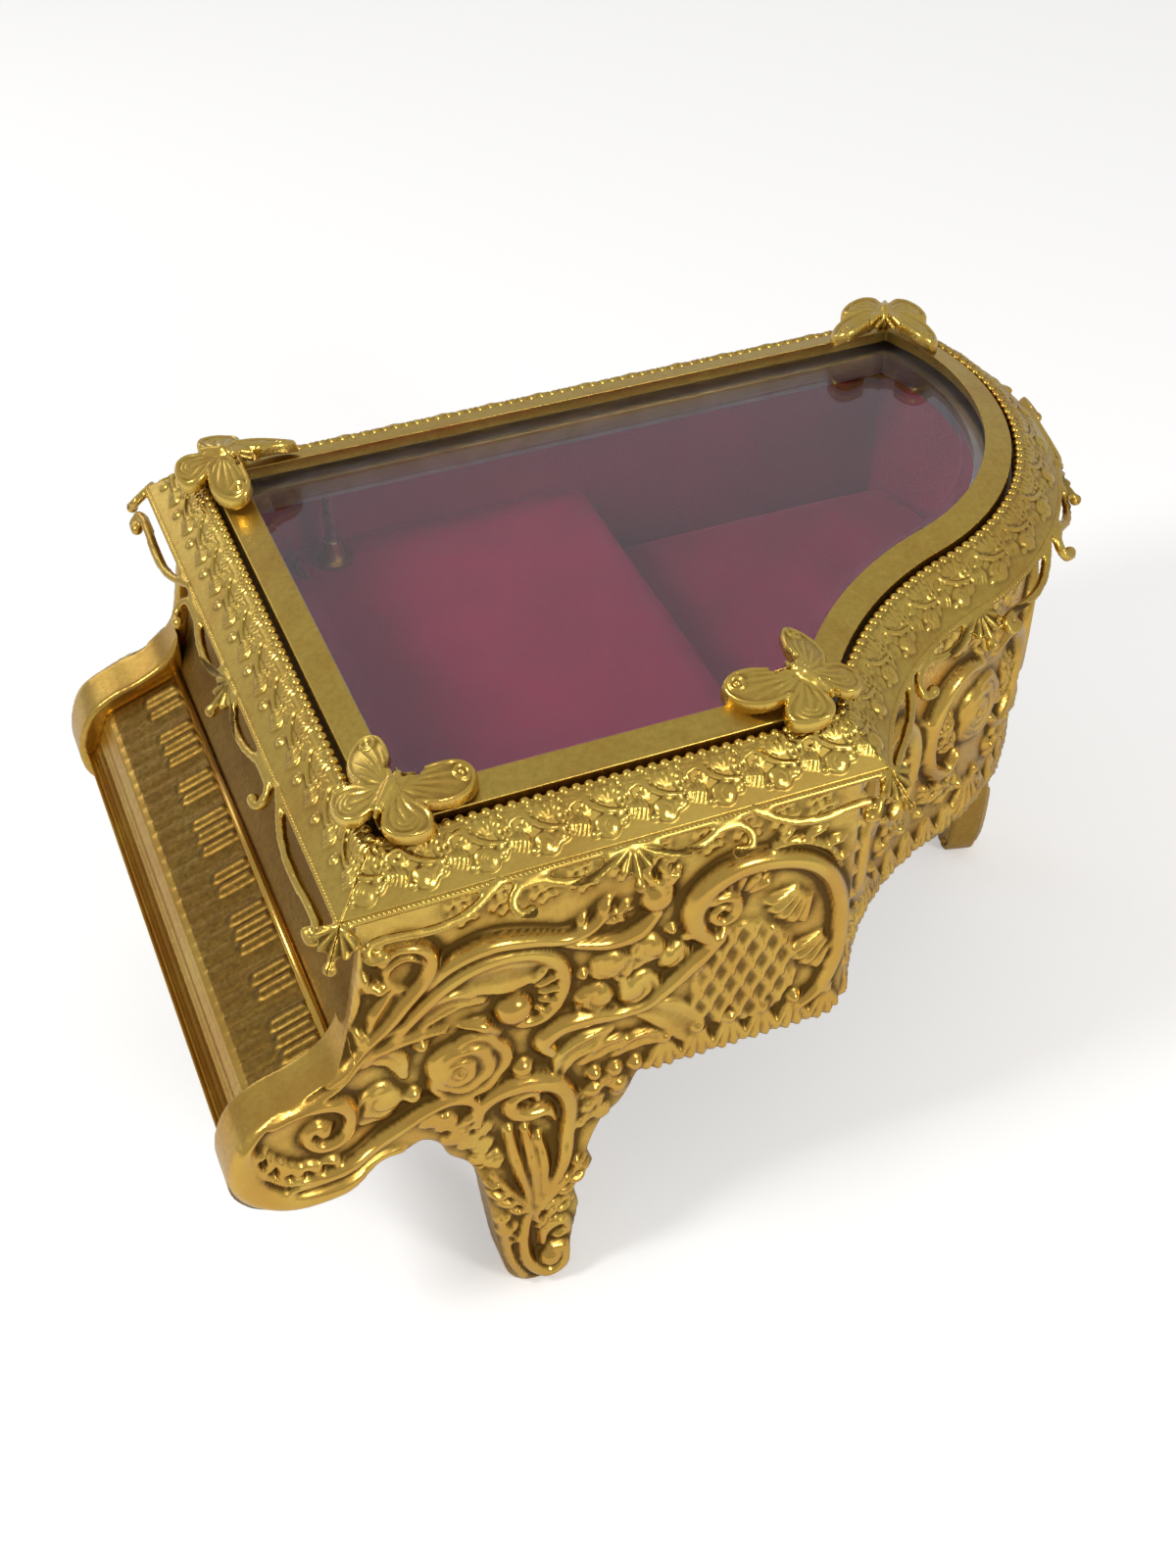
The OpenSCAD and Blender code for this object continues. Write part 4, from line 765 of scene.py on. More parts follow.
class Plate:
    """Flat surface: u and v along two directions and d off it, in mm."""

    def __init__(self, origin, along, up, side=1):
        self.origin = np.asarray(origin, float)
        self.along, self.up = (np.asarray(w, float) / np.linalg.norm(w) for w in (along, up))
        self.out = side * np.cross(self.along, self.up)

    def locate(self, points):
        """u, v, d and the outward direction for points in mm."""
        to = points - self.origin
        return to @ self.along, to @ self.up, to @ self.out, np.tile(self.out, (len(points), 1))

    def place(self, u, v, d):
        """A point over the surface, and the way out there."""
        return (Vector(self.origin + u * self.along + v * self.up + d * self.out),
                Vector(self.out))


# ---- meshes -----------------------------------------------------------------

def mesh_of(name, shape):
    """Mesh of a finished bmesh, which is freed."""
    mesh = bpy.data.meshes.new(name)
    shape.to_mesh(mesh)
    shape.free()
    return mesh


def shade_smooth(mesh):
    """Shades all faces as one rounded surface."""
    mesh.polygons.foreach_set("use_smooth", np.ones(len(mesh.polygons), bool))


def read_points(mesh, what="co"):
    """Places or normals of a mesh's points, one row each."""
    values = np.empty(len(mesh.vertices) * 3)
    mesh.vertices.foreach_get(what, values)
    return values.reshape(-1, 3)


def over_corner(values):
    """Places of the frame in mm over the bezel corner."""
    return np.asarray(values) / MM - SHIFT


def write_points(mesh, points):
    """Writes points in mm over the bezel corner, kept inside the frame's box."""
    low, high = over_corner(CAD_BOX)
    points = (np.clip(points, low, high) + SHIFT) * MM
    mesh.vertices.foreach_set("co", points.ravel())
    mesh.update()
    shade_smooth(mesh)


def write_patina_and_shade(mesh, values):
    """Share of a hollow, 0 to 1, at each point or at all, for the patina and for the painted shade
    of the hollows.
    """
    held = mesh.attributes.get("hollow") or mesh.attributes.new("hollow", "FLOAT", "POINT")
    values = np.broadcast_to(np.clip(values, 0, 1), len(mesh.vertices))
    held.data.foreach_set("value", np.ascontiguousarray(values, np.float32))


def link(piece, body, slot, replaced=()):
    """Puts a finished piece on its body, with its finish."""
    piece.data.materials.clear()
    piece.data.materials.append(finish(slot))
    if piece.name not in bpy.context.scene.collection.objects:
        bpy.context.scene.collection.objects.link(piece)
    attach(piece, body)
    if replaced:
        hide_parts(*replaced)
    return piece


def fine_copy(name, node, cell, softer=0):
    """Even fine mesh of a frame node, in mm over the bezel corner, and its ray tree."""
    shape = bmesh.new()
    shape.from_mesh(frame["nodes"][node].data)
    bmesh.ops.remove_doubles(shape, verts=shape.verts, dist=1e-6)
    bmesh.ops.transform(shape, matrix=Matrix.Translation(Vector(-SHIFT * MM)), verts=shape.verts)
    bmesh.ops.scale(shape, vec=(1 / MM, 1 / MM, 1 / MM), verts=shape.verts)
    tree = BVHTree.FromBMesh(shape)
    mesh = mesh_of(name + "_plain", shape)
    holder = bpy.data.objects.new(name + "_plain", mesh)
    bpy.context.scene.collection.objects.link(holder)
    even = holder.modifiers.new("even", "REMESH")
    even.mode = "VOXEL"
    even.voxel_size = cell
    if softer:
        soft = holder.modifiers.new("soft", "SMOOTH")
        soft.factor = 0.5
        soft.iterations = softer
    made = bpy.data.meshes.new_from_object(
        holder.evaluated_get(bpy.context.evaluated_depsgraph_get()))
    bpy.data.objects.remove(holder)
    bpy.data.meshes.remove(mesh)
    made.name = name
    return made, tree


# ---- relief on a casting ----------------------------------------------------

# Height in mm that stands for no surface at all
NOWHERE = 99


def lowest_near(values, there, cells):
    """Lowest value within some cells, over the places that are there."""
    held = np.where(there > 0, values, NOWHERE)
    for axis in (0, 1):
        held = np.min([np.roll(held, k, axis) for k in range(-cells, cells + 1)], 0)
    return held


# Patina and painted shade per mm that a place lies below its surroundings, on deep and on fine
# relief
PATINA_AND_SHADE, FINE_PATINA_AND_SHADE = 1.5, 2.4
# Patina on plain sides, and on smooth pieces that are wiped more often
SIDE_DIRT, WIPED_DIRT = 0.3, 0.25
# Rays that feel for the plain face start this far outside it, and reach this far, in mm
RAY_START, RAY_REACH = 30, 38
# A surface takes no relief and full relief when its normal meets the way out so closely
SIDE_ON, FACE_ON = 0.15, 0.65
# A step belongs to the face, and a bore doesn't, this far behind its lowest place near by
STEP_DEEP, BORE_DEEP = 1, 1.5
# Steps belong to the face from this share of the rolled edge on, fully after this much more
STEP_FROM, STEP_RUN = 0.8, 0.15
# Voxel size in mm under which a plain casting needs no smoothing
FINE_CELL = 0.45


def carve(name, node, body, wall, relief, cell=0.5, roll=1.3, softer=5, dirt=0.2, lip=0):
    """Casting with the drawn relief on its outer face and rolled edges.

    roll is how far the edge turns back, softer the cells over which steps of the plain face
    are evened out, dirt the patina everywhere and lip how far the sides are pulled in.
    """
    mesh, tree = fine_copy(name, node, cell, 0 if cell < FINE_CELL else 3)
    plain = Relief(relief.u[0, 0], relief.u[-1, 0], relief.v[0, 0], relief.v[0, -1],
                   2 * relief.pitch)
    there = np.zeros_like(plain.u)
    for i, j in np.ndindex(plain.u.shape):
        start, way = wall.place(plain.u[i, j], plain.v[i, j], RAY_START)
        distance = tree.ray_cast(start, -way, RAY_REACH)[3]
        if distance is not None:
            plain.h[i, j], there[i, j] = RAY_START - distance, 1
    base = blur(plain.h * there, softer) / np.maximum(blur(there, softer), 0.02)
    rim = np.clip(2 * blur(there, 2) - 1, 0, 1)
    lowest = lowest_near(plain.h, there, 4)
    height = blur(relief.h, 1)
    # patina with painted shade: the deeper a place lies below its surroundings, the darker
    hollow = (blur(relief.h, 6) - height) * PATINA_AND_SHADE + dirt

    points = read_points(mesh)
    u, v, d, out = wall.locate(points)
    facing = (read_points(mesh, "normal") * out).sum(1)
    facing = np.clip((facing - SIDE_ON) / (FACE_ON - SIDE_ON), 0, 1)
    edge = plain.at(u, v, rim)
    above = d - plain.at(u, v, lowest)
    # steps of the plain casting are part of the face too, away from its outline,
    # and a bore behind the face keeps its place
    front = (above > -STEP_DEEP) * np.clip((edge - STEP_FROM) / STEP_RUN, 0, 1)
    facing = np.maximum(facing * (above > -BORE_DEEP), front)
    target = (plain.at(u, v, base) + relief.at(u, v, height) * np.minimum(1, 0.4 + edge)
              - roll * (1 - np.sqrt(1 - (1 - edge) ** 2)))
    held = np.minimum(d, target)
    depth = held + (target - held) * facing - lip * (1 - facing) * np.clip(1.4 - 2 * edge, 0, 1)
    write_points(mesh, points + out * (depth - d)[:, None])
    write_patina_and_shade(mesh, relief.at(u, v, hollow) * facing + SIDE_DIRT * (1 - facing))
    return link(bpy.data.objects.new(name, mesh), body, "gilt_casting", [node])


def soften(name, node, body, cell, rounds, dirt=WIPED_DIRT):
    """Casting whose sawn edges are rounded off, as polishing leaves them."""
    mesh, _ = fine_copy(name, node, cell, rounds)
    write_points(mesh, read_points(mesh))
    write_patina_and_shade(mesh, dirt)
    return link(bpy.data.objects.new(name, mesh), body, "gilt_casting", [node])


# ---- border of the lid ------------------------------------------------------

# Outer and inner edge of the border outside the bezel, and the bead and rope mouldings, in mm
BORDER_OUT, BORDER_IN = 10.9, 0.9
BEAD_R, BEAD_OUT, BEAD_Z, ROPE_R, ROPE_Z = 1.0, BORDER_IN + 0.8, 124.5, 0.7, 117.0
# The slope between beads and rope: distance outside the bezel, and height
CREST = np.array([BORDER_IN + 1.3, 124.9])
EDGE = np.array([BORDER_OUT - 0.45, 117.8])
SLOPE = EDGE - CREST
SLOPE_OUT = np.array([-SLOPE[1], SLOPE[0]]) / np.linalg.norm(SLOPE)


def corner(k, out):
    """Corners of the plan, out mm outside the bezel, from keyboard and treble side on."""
    if k % 4 == 0:
        return np.array([-out, -out])
    if k % 4 == 1:
        run = math.sqrt((BEND_R - out) ** 2 - (-out - BEND_C[1]) ** 2)
        return np.array([BEND_C[0] - run, -out])
    if k % 4 == 2:
        run = math.sqrt((TAIL_R + out) ** 2 - (TAIL_BACK + out) ** 2)
        return np.array([TAIL_C[0] + run, WIDTH + out])
    return np.array([-out, WIDTH + out])


def border_line(side):
    """Line of the bezel's edge along a side, and the corner where the side starts."""
    if side == 1:
        return Wall(bent_side(0, 9))
    return Wall([corner(side, 0), corner(side + 1, 0)])


def station(line, k, out):
    """Distance along a side's line to where the mitre of corner k is out mm off it."""
    return float(line.locate(np.array([[*corner(k, out), 0.0]]))[0][0])


def draw_border(r, flowers):
    """Waves of acanthus between the beads and a row of flowers, over a plain outer band."""
    for k, u in enumerate(np.arange(r.u[0, 0] + 2, r.u[-1, 0], 10.8)):
        # wave that swings from the beads down to the next flower
        r.band([(u - 1.2, 2.6), (u + 0.8, 1.7), (u + 2.6, 3.4), (u + 5, 4.9), (u + 7.6, 5.5),
                (u + 9.4, 5.2)], [0.3, 0.5, 0.5, 0.5, 0.4, 0.25], 0.75)
        # hatched leaf beside the flower
        for j in range(5):
            r.band([(u + 0.6 - 0.75 * j, 4.6 - 0.16 * j), (u + 1.0 - 0.75 * j, 6.2),
                    (u + 0.5 - 0.75 * j, 7.8 - 0.3 * j)], [0.2, 0.36, 0.2], 0.75)
        # small fans that open towards the beads
        r.shell((u + 5.6, 4.3), 0.6, 3.6, 215, 325, 5, 0.7)
        r.shell((u + 1.9, 5.0), 0.3, 2.6, 200, 300, 3, 0.6)
        r.leaf([(u + 8.6, 4.6), (u + 8.2, 2.6), (u + 9.2, 0.9)], 1.9, 4, 0.65)
        r.leaf([(u + 3.4, 3.2), (u + 3.0, 1.8), (u + 3.6, 0.7)], 1.5, 3, 0.55)
        if flowers:
            r.rose((u + 4.4, 7.4), 2.2, 1.0, 1 - 2 * (k % 2))
            r.petals((u + 7.0, 6.9), 1.3, 4, 0.6, 40 * k)
            r.pearl((u + 1.9, 8.3), 0.6, 0.5)
        else:
            r.pearl((u + 4.4, 7.2), 1.0, 0.6)


# Cells in mm of a strip's grid, on the short sides and on sides longer than LONG_SIDE
STRIP_CELL, LONG_STRIP_CELL, LONG_SIDE = 0.22, 0.26, 160
# A strip's sheet: thickness, distance over the casting, and width of its faded edge, in mm
SHEET, OVER_CASTING, FADE = 0.7, 0.15, 0.5


def strip(name, side, relief):
    """Embossed face of the sloped border, closed by its own thickness."""
    line = border_line(side)
    width = np.linalg.norm(SLOPE)
    run = station(line, side + 1, BORDER_OUT) - station(line, side, BORDER_OUT)
    cell = STRIP_CELL if run < LONG_SIDE else LONG_STRIP_CELL
    shape = bmesh.new()
    bmesh.ops.create_grid(shape, x_segments=int(run / cell), y_segments=int(width / cell), size=1)
    mesh = mesh_of(name, shape)
    share = (read_points(mesh)[:, :2] + 1) / 2
    out = CREST[0] + share[:, 1] * SLOPE[0]
    steps = np.linspace(CREST[0], EDGE[0], 12)
    first, last = (np.interp(out, steps, [station(line, k, o) for o in steps])
                   for k in (side, side + 1))
    u, w = last + share[:, 0] * (first - last), share[:, 1] * width
    height = blur(relief.h, 1)
    fade = np.clip(np.minimum(w, width - w) / FADE, 0, 1)
    h = OVER_CASTING + relief.at(u, w, height) * fade
    plan, _ = line.plan(u, out + h * SLOPE_OUT[0])
    z = CREST[1] + share[:, 1] * SLOPE[1] + h * SLOPE_OUT[1]
    write_points(mesh, np.column_stack([plan, z]))
    # patina and painted shade in the hollows of the flowers, over patina on all of it
    write_patina_and_shade(mesh, relief.at(u, w, (blur(relief.h, 4) - height) * FINE_PATINA_AND_SHADE + SIDE_DIRT))
    piece = link(bpy.data.objects.new(name, mesh), "lid", "gilt_casting")
    wall = piece.modifiers.new("thickness", "SOLIDIFY")
    wall.thickness = SHEET * MM
    wall.offset = -1
    return piece


def beading(name, side):
    """Row of beads inside and milled rope outside the border."""
    line = border_line(side)
    shape = bmesh.new()
    # place, pitch and half sizes in mm, and lean in degrees
    beads = (BEAD_OUT, BEAD_Z, 2.3, (1.05, BEAD_R, BEAD_R), 0)
    strands = (BORDER_OUT - 0.25, ROPE_Z + 0.05, 0.85, (0.42, ROPE_R, 0.9), 38)
    for out, z, pitch, size, lean in (beads, strands):
        ends = station(line, side, out), station(line, side + 1, out)
        count = int((ends[1] - ends[0]) / pitch)
        stations = ends[0] + (np.arange(count) + 0.5) * (ends[1] - ends[0]) / count
        at, way = line.plan(stations, np.full(count, out))
        for p, w in zip(at, way):
            turn = (Matrix.Rotation(math.atan2(w[1], w[0]) + math.pi / 2, 4, "Z")
                    @ Matrix.Rotation(math.radians(lean), 4, "Y"))
            spot = Vector((*((p + SHIFT[:2]) * MM), z * MM))
            bmesh.ops.create_uvsphere(
                shape, u_segments=10, v_segments=7, radius=MM,
                matrix=Matrix.Translation(spot) @ turn @ Matrix.Diagonal((*size, 1)))
    mesh = mesh_of(name, shape)
    shade_smooth(mesh)
    write_patina_and_shade(mesh, WIPED_DIRT)
    return link(bpy.data.objects.new(name, mesh), "lid", "gilt_casting")


def ring_shell(name, profile, body, slot, replaced, edge_mm):
    """Closed ring round the plan; profile holds distance outside the bezel and height."""
    plans = [np.array([corner(0, out), *bent_side(out), corner(3, out)]) for out, _ in profile]
    across, around = len(profile), len(plans[0])
    shape = bmesh.new()
    bmesh.ops.create_grid(shape, x_segments=around, y_segments=across, size=1)
    for vert in shape.verts:
        i = round((vert.co.x + 1) / 2 * around) % around
        j = round((vert.co.y + 1) / 2 * across) % across
        vert.co = Vector((*((plans[j][i] + SHIFT[:2]) * MM), profile[j][1] * MM))
    bmesh.ops.remove_doubles(shape, verts=shape.verts, dist=1e-7)
    bmesh.ops.recalc_face_normals(shape, faces=shape.faces)
    mesh = mesh_of(name, shape)
    shade_smooth(mesh)
    write_patina_and_shade(mesh, SIDE_DIRT)
    piece = link(bpy.data.objects.new(name, mesh), body, slot, replaced)
    edge = piece.modifiers.new("edges", "BEVEL")
    edge.width = edge_mm * MM
    edge.segments = 4
    edge.limit_method = "ANGLE"
    edge.harden_normals = True
    return piece


# Where the palmettes of each side hang, as shares of its length, and their lean
PALMETTES = {0: (0, 0.51, 1), 1: (0, 0.3, 0.6, 1), 2: (0, 0.335, 0.67, 1), 3: (0, 0.5, 1)}
# Angle between two leaves, and how far the fringe hangs down
LEAF_SPREAD, FRINGE_TILT = math.radians(28), math.radians(50)
# Length and half thickness of a palmette, and depth of its grooves, in mm, with their patina and
# painted shade
PALMETTE_LONG, PALMETTE_THICK, GROOVE_DEEP, GROOVE_PATINA_AND_SHADE = 8, 1.6, 0.55, 0.6
# Share by which the moulding shrinks to the seat of the beads
SEAT_SHARE = 0.45


def rib_palmettes(piece, side):
    """Seat of the beads, and grooves between the five leaves of each palmette."""
    edge = BORDER_OUT - 0.3
    line = (Wall(bent_side(edge)) if side == 1
            else Wall([corner(side, edge), corner(side + 1, edge)]))
    points = over_corner(read_points(piece.data))
    normals = read_points(piece.data, "normal")
    # the moulding under the beads shrinks to their seat
    _, height, out, way = border_line(side).locate(points)
    off, up = out - BEAD_OUT, height - BEAD_Z
    seat = (np.hypot(off, up) < 1.5 * BEAD_R) & (up > -0.6)
    points -= (SEAT_SHARE * seat)[:, None] * (off[:, None] * way + up[:, None] * (0, 0, 1))
    hollow = np.full(len(points), WIPED_DIRT)
    for share in PALMETTES[side]:
        at, way = line.plan(share * line.u[-1], 0)
        out = way[0]
        if share in (0, 1):
            # a palmette at a corner looks between its two sides
            before = line_way(side - 1 + share, 1)
            after = line_way(side + share, 0)
            out = (before + after) / np.linalg.norm(before + after)
        # along, down and square to the palmette, and the angle from its middle leaf
        down = np.array([*(out * math.cos(FRINGE_TILT)), -math.sin(FRINGE_TILT)])
        face = np.array([*(out * math.sin(FRINGE_TILT)), math.cos(FRINGE_TILT)])
        to = points - (*at[0], ROPE_Z)
        x, y, z = to @ (-out[1], out[0], 0), to @ down, to @ face
        angle = np.arctan2(x, np.maximum(y, 0.01))
        near = ((y > 0.4) & (y < PALMETTE_LONG) & (np.abs(z) < PALMETTE_THICK)
                & (np.abs(angle) < 2.6 * LEAF_SPREAD))
        rib = 0.5 + 0.5 * np.cos(2 * math.pi * angle / LEAF_SPREAD)
        deep = near * (1 - rib) * np.clip((normals @ face - 0.2) / 0.4, 0, 1) * np.clip(y / 2, 0, 1)
        points -= GROOVE_DEEP * deep[:, None] * face
        # patina and painted shade darken the grooves
        hollow += GROOVE_PATINA_AND_SHADE * deep
    write_points(piece.data, points)
    write_patina_and_shade(piece.data, hollow)


def line_way(side, end):
    """Way out of the bezel at the first or the last point of a side."""
    return border_line(side % 4).out[-1 if end else 0]


# ---- keyboard ---------------------------------------------------------------

# Front and back edge of the white keys: X from the bezel, and height
KEY_FRONT, KEY_BACK = (-28.0, 70.5), (-12.4, 76.2)


def add_bar(mesh, start, end, r):
    """Adds a round bar between two points in mm to a mesh, closed at its ends."""
    start, end = (Vector((np.asarray(p) + SHIFT) * MM) for p in (start, end))
    shape = bmesh.new()
    shape.from_mesh(mesh)
    run = end - start
    place = Matrix.Translation((start + end) / 2) @ run.to_track_quat("Z", "Y").to_matrix().to_4x4()
    bmesh.ops.create_cone(shape, cap_ends=True, segments=24, radius1=r * MM, radius2=r * MM,
                          depth=run.length, matrix=place)
    shape.to_mesh(mesh)
    shape.free()
    shade_smooth(mesh)


# ---- velvet -----------------------------------------------------------------

def pile_waves(points, height):
    """Gentle unevenness of cloth glued over a board."""
    x, y = points[:, 0], points[:, 1]
    return height * (np.sin(x / 9.1 + 0.7) * np.sin(y / 7.3 + 1.1)
                     + 0.6 * np.sin(x / 4.3 - y / 5.9) + 0.5 * np.sin(x / 21 + y / 13))


def covered_board(name, node, cell, rounds, waves):
    """Board covered in velvet: soft edges and slightly uneven faces."""
    mesh, _ = fine_copy(name, node, cell, rounds)
    points = read_points(mesh)
    up = np.clip(read_points(mesh, "normal")[:, 2], 0, 1)
    points[:, 2] += pile_waves(points, waves) * up
    write_points(mesh, points)
    return link(bpy.data.objects.new(name, mesh), "case", "velvet", [node])


CLOTH_STEPS = 20
# How far the cloth may move, and rise over the plain pad, for each mm that it swells
MOVE_LIMIT, RISE_LIMIT = 1.6, 0.4


def stuffed_pad(name, node, cell, pressure, swell):
    """Padded floor: its case is blown up as cloth and settles on the board."""
    mesh, _ = fine_copy(name, node, cell)
    write_points(mesh, read_points(mesh) - swell * read_points(mesh, "normal"))
    piece = bpy.data.objects.new(name, mesh)
    bpy.context.scene.collection.objects.link(piece)
    start = read_points(mesh)
    cloth = piece.modifiers.new("stuffing", "CLOTH")
    cloth.settings.use_pressure = True
    cloth.settings.uniform_pressure_force = pressure
    cloth.settings.effector_weights.gravity = 0
    for step in range(1, CLOTH_STEPS + 1):
        bpy.context.scene.frame_set(step)
    held = piece.evaluated_get(bpy.context.evaluated_depsgraph_get())
    blown = read_points(held.data)
    bpy.context.scene.frame_set(1)
    piece.modifiers.remove(cloth)
    move = blown - start
    far = np.linalg.norm(move, axis=1, keepdims=True)
    move *= np.minimum(1, MOVE_LIMIT * swell * MM / np.maximum(far, 1e-9))
    low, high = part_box(node)
    points = start + move
    points[:, 2] = np.clip(points[:, 2], low[2], high[2] + RISE_LIMIT * swell * MM)
    mesh.vertices.foreach_set("co", points.ravel())
    mesh.update()
    finer = piece.modifiers.new("finer", "SUBSURF")
    finer.levels = finer.render_levels = 1
    link(piece, "case", "velvet", [node])
    return piece


# ---- butterflies ------------------------------------------------------------

# Half the width of the pair of feelers, and where they leave the head
FEELERS_HALF, HEAD_U = 3.4, -3.5
# How far they are drawn back and laid down, as shares of their reach past the head
DRAWN_BACK, LAID_DOWN = 0.45, 0.35


def fold_feelers(piece, plate):
    """Shortens the feelers and lays them down in front of the head."""
    points = over_corner(read_points(piece.data))
    u, v, _, _ = plate.locate(points)
    ahead = np.where(np.abs(v) < FEELERS_HALF, np.maximum(0, HEAD_U - u), 0)
    move = DRAWN_BACK * ahead[:, None] * plate.along - LAID_DOWN * ahead[:, None] * plate.out
    write_points(piece.data, points + move)


# Outlines of the right-hand wings: body along u, tail at +u
FORE_WING = [(-1.4, 0.9), (-4.4, 2.1), (-7.9, 4.7), (-10.3, 7.7), (-10.2, 10.2), (-8.1, 11.2),
             (-4.7, 10.6), (-1.7, 8.5), (0.3, 5.2)]
HIND_WING = [(0.6, 5.3), (1.5, 7.9), (3.8, 9.1), (6.5, 7.7), (8.2, 4.9), (7.5, 2.5), (5.1, 1.3)]


def draw_butterfly(r):
    """Veins, eye spots and raised rims of the four wings."""
    for s in (-1, 1):
        for outline, first, last in ((FORE_WING, 2, 8), (HIND_WING, 1, 6)):
            r.band([(x, y * s) for x, y in outline], [0.4, 0.55, 0.4], 0.6)
            for x, y in outline[first:last]:
                r.band([(-0.4, 0.9 * s), (x * 0.5, y * 0.48 * s), (x * 0.86, y * 0.86 * s)],
                       [0.2, 0.38, 0.16], 0.4)
        ring = [(-8.6 + 1.2 * math.cos(a), (8.9 + 1.2 * math.sin(a)) * s)
                for a in np.linspace(0, 2 * math.pi, 9)]
        r.band(ring, [0.34, 0.34], 0.75)
        r.pearl((-8.6, 8.9 * s), 0.6, 0.7)
        for size in (1.5, 2.5, 3.5):
            arc = [(4.2 + size * math.cos(a), (4.8 + size * math.sin(a) * 0.8) * s)
                   for a in np.linspace(-0.9, 1.9, 7)]
            r.band(arc, [0.16, 0.3, 0.16], 0.42)
    r.band([(-3.4, 0), (-1, 0), (2, 0), (5.6, 0)], [0.8, 1.3, 1.0, 0.5], 0.5)


# Top of the butterflies' wings in mm, and how far their tails hang
WING_Z, TAIL_TILT = 130.9, math.radians(9)


def butterfly_plate(place, heading):
    """Surface of a butterfly's wings; heading is where its tail points, in degrees."""
    x, y = compass(heading)
    along = (x * math.cos(TAIL_TILT), y * math.cos(TAIL_TILT), -math.sin(TAIL_TILT))
    return Plate((*place, WING_Z), along, (-y, x, 0))


# ---- operators --------------------------------------------------------------

# Camera: place in m, and its turns in degrees, each about its own axis
CAMERA_PLACE = (-0.13362, -0.30377, 0.36227)
CAMERA_TURNS = ((-21.9, "Z"), (48, "X"), (-0.2, "Z"))
# Lamps: share of the key light's power, width and place in m, and what they point at
LAMPS = {"key": (1, 0.16, (-0.50, -0.10, 0.62)), "front": (0.6, 0.18, (0.26, -0.60, 0.41)),
         "back": (0.12, 0.30, (-0.30, 0.60, 0.30))}
LAMP_AIM = Vector((0, 0, 0.08))
# Extra white of the floor as the camera sees it, and the white of the room in reflections
FLOOR_GLOW, ROOM_LEVEL = 0.34, 0.5


class CASKET_OT_stage(bpy.types.Operator):
    """Camera, pale floor, soft lights and white surroundings"""
    bl_idname = "casket.stage"
    bl_label = "Stage"

    def execute(self, context):
        settings = context.scene.casket_stage
        scene = context.scene
        scene.view_settings.view_transform = "Standard"
        camera = bpy.data.objects.new("camera", bpy.data.cameras.new("camera"))
        scene.collection.objects.link(camera)
        camera.data.sensor_fit = "VERTICAL"
        camera.data.sensor_height = 24
        camera.data.lens = settings.lens
        camera.data.clip_start = 0.01
        camera.location = CAMERA_PLACE
        turn = Matrix.Identity(4)
        for angle, axis in CAMERA_TURNS:
            turn = turn @ Matrix.Rotation(math.radians(angle), 4, axis)
        camera.rotation_euler = turn.to_euler()
        scene.camera = camera

        shape = bmesh.new()
        bmesh.ops.create_grid(shape, x_segments=1, y_segments=1, size=3)
        floor = bpy.data.objects.new("floor", mesh_of("floor", shape))
        scene.collection.objects.link(floor)
        made = bpy.data.materials.new("pale_floor")
        tree, out = new_tree(made, "OutputMaterial")
        diffuse = add(tree, "BsdfDiffuse", {"Color": (*settings.floor, 1)})
        seen = add(tree, "LightPath").outputs["Is Camera Ray"]
        lift = add(tree, "Math", {0: seen, 1: FLOOR_GLOW}, operation="MULTIPLY")
        glow = add(tree, "Emission", {"Strength": lift.outputs[0]})
        both = add(tree, "AddShader", {0: diffuse.outputs[0], 1: glow.outputs[0]})
        fill(tree, out, {"Surface": both.outputs[0]})
        floor.data.materials.append(made)

        scene.world = bpy.data.worlds.new("studio")
        tree, out = new_tree(scene.world, "OutputWorld")
        path = add(tree, "LightPath").outputs
        seen = add(tree, "Math",
                   {0: path["Is Camera Ray"], 1: path["Is Transmission Ray"]},
                   operation="MAXIMUM")
        level = add(tree, "MapRange",
                    {"Value": seen.outputs[0], "To Min": ROOM_LEVEL, "To Max": 1.0})
        sky = add(tree, "Background",
                  {"Color": (1, 1, 1, 1), "Strength": level.outputs[0]})
        fill(tree, out, {"Surface": sky.outputs[0]})

        for name, (share, size, place) in LAMPS.items():
            lamp = bpy.data.lights.new(name, "AREA")
            lamp.shape = "DISK"
            lamp.size = size
            lamp.energy = settings.key_power * share
            holder = bpy.data.objects.new(name, lamp)
            holder.location = place
            aim = LAMP_AIM - Vector(place)
            holder.rotation_euler = aim.to_track_quat("-Z", "Y").to_euler()
            scene.collection.objects.link(holder)
        return {"FINISHED"}


class CASKET_OT_finishes(bpy.types.Operator):
    """Materials of the pieces that keep their shape from the frame"""
    bl_idname = "casket.finishes"
    bl_label = "Finishes"

    def execute(self, context):
        for part in frame["record"]["subparts"]:
            materials = frame["nodes"][part["node"]].data.materials
            materials.clear()
            materials.append(finish(part["material_slot"]))
        return {"FINISHED"}


# Spans in mm that the drawings of the walls cover, and where their ornament ends
TREBLE_SPAN, TREBLE_END = (-38, 89), 87.5
SPINE_SPAN, SPINE_END = (-38, 162), 157
UPRIGHT_SPAN = (-1, 117)
# Voxel size in mm of the two long walls
LONG_CELL = 0.58


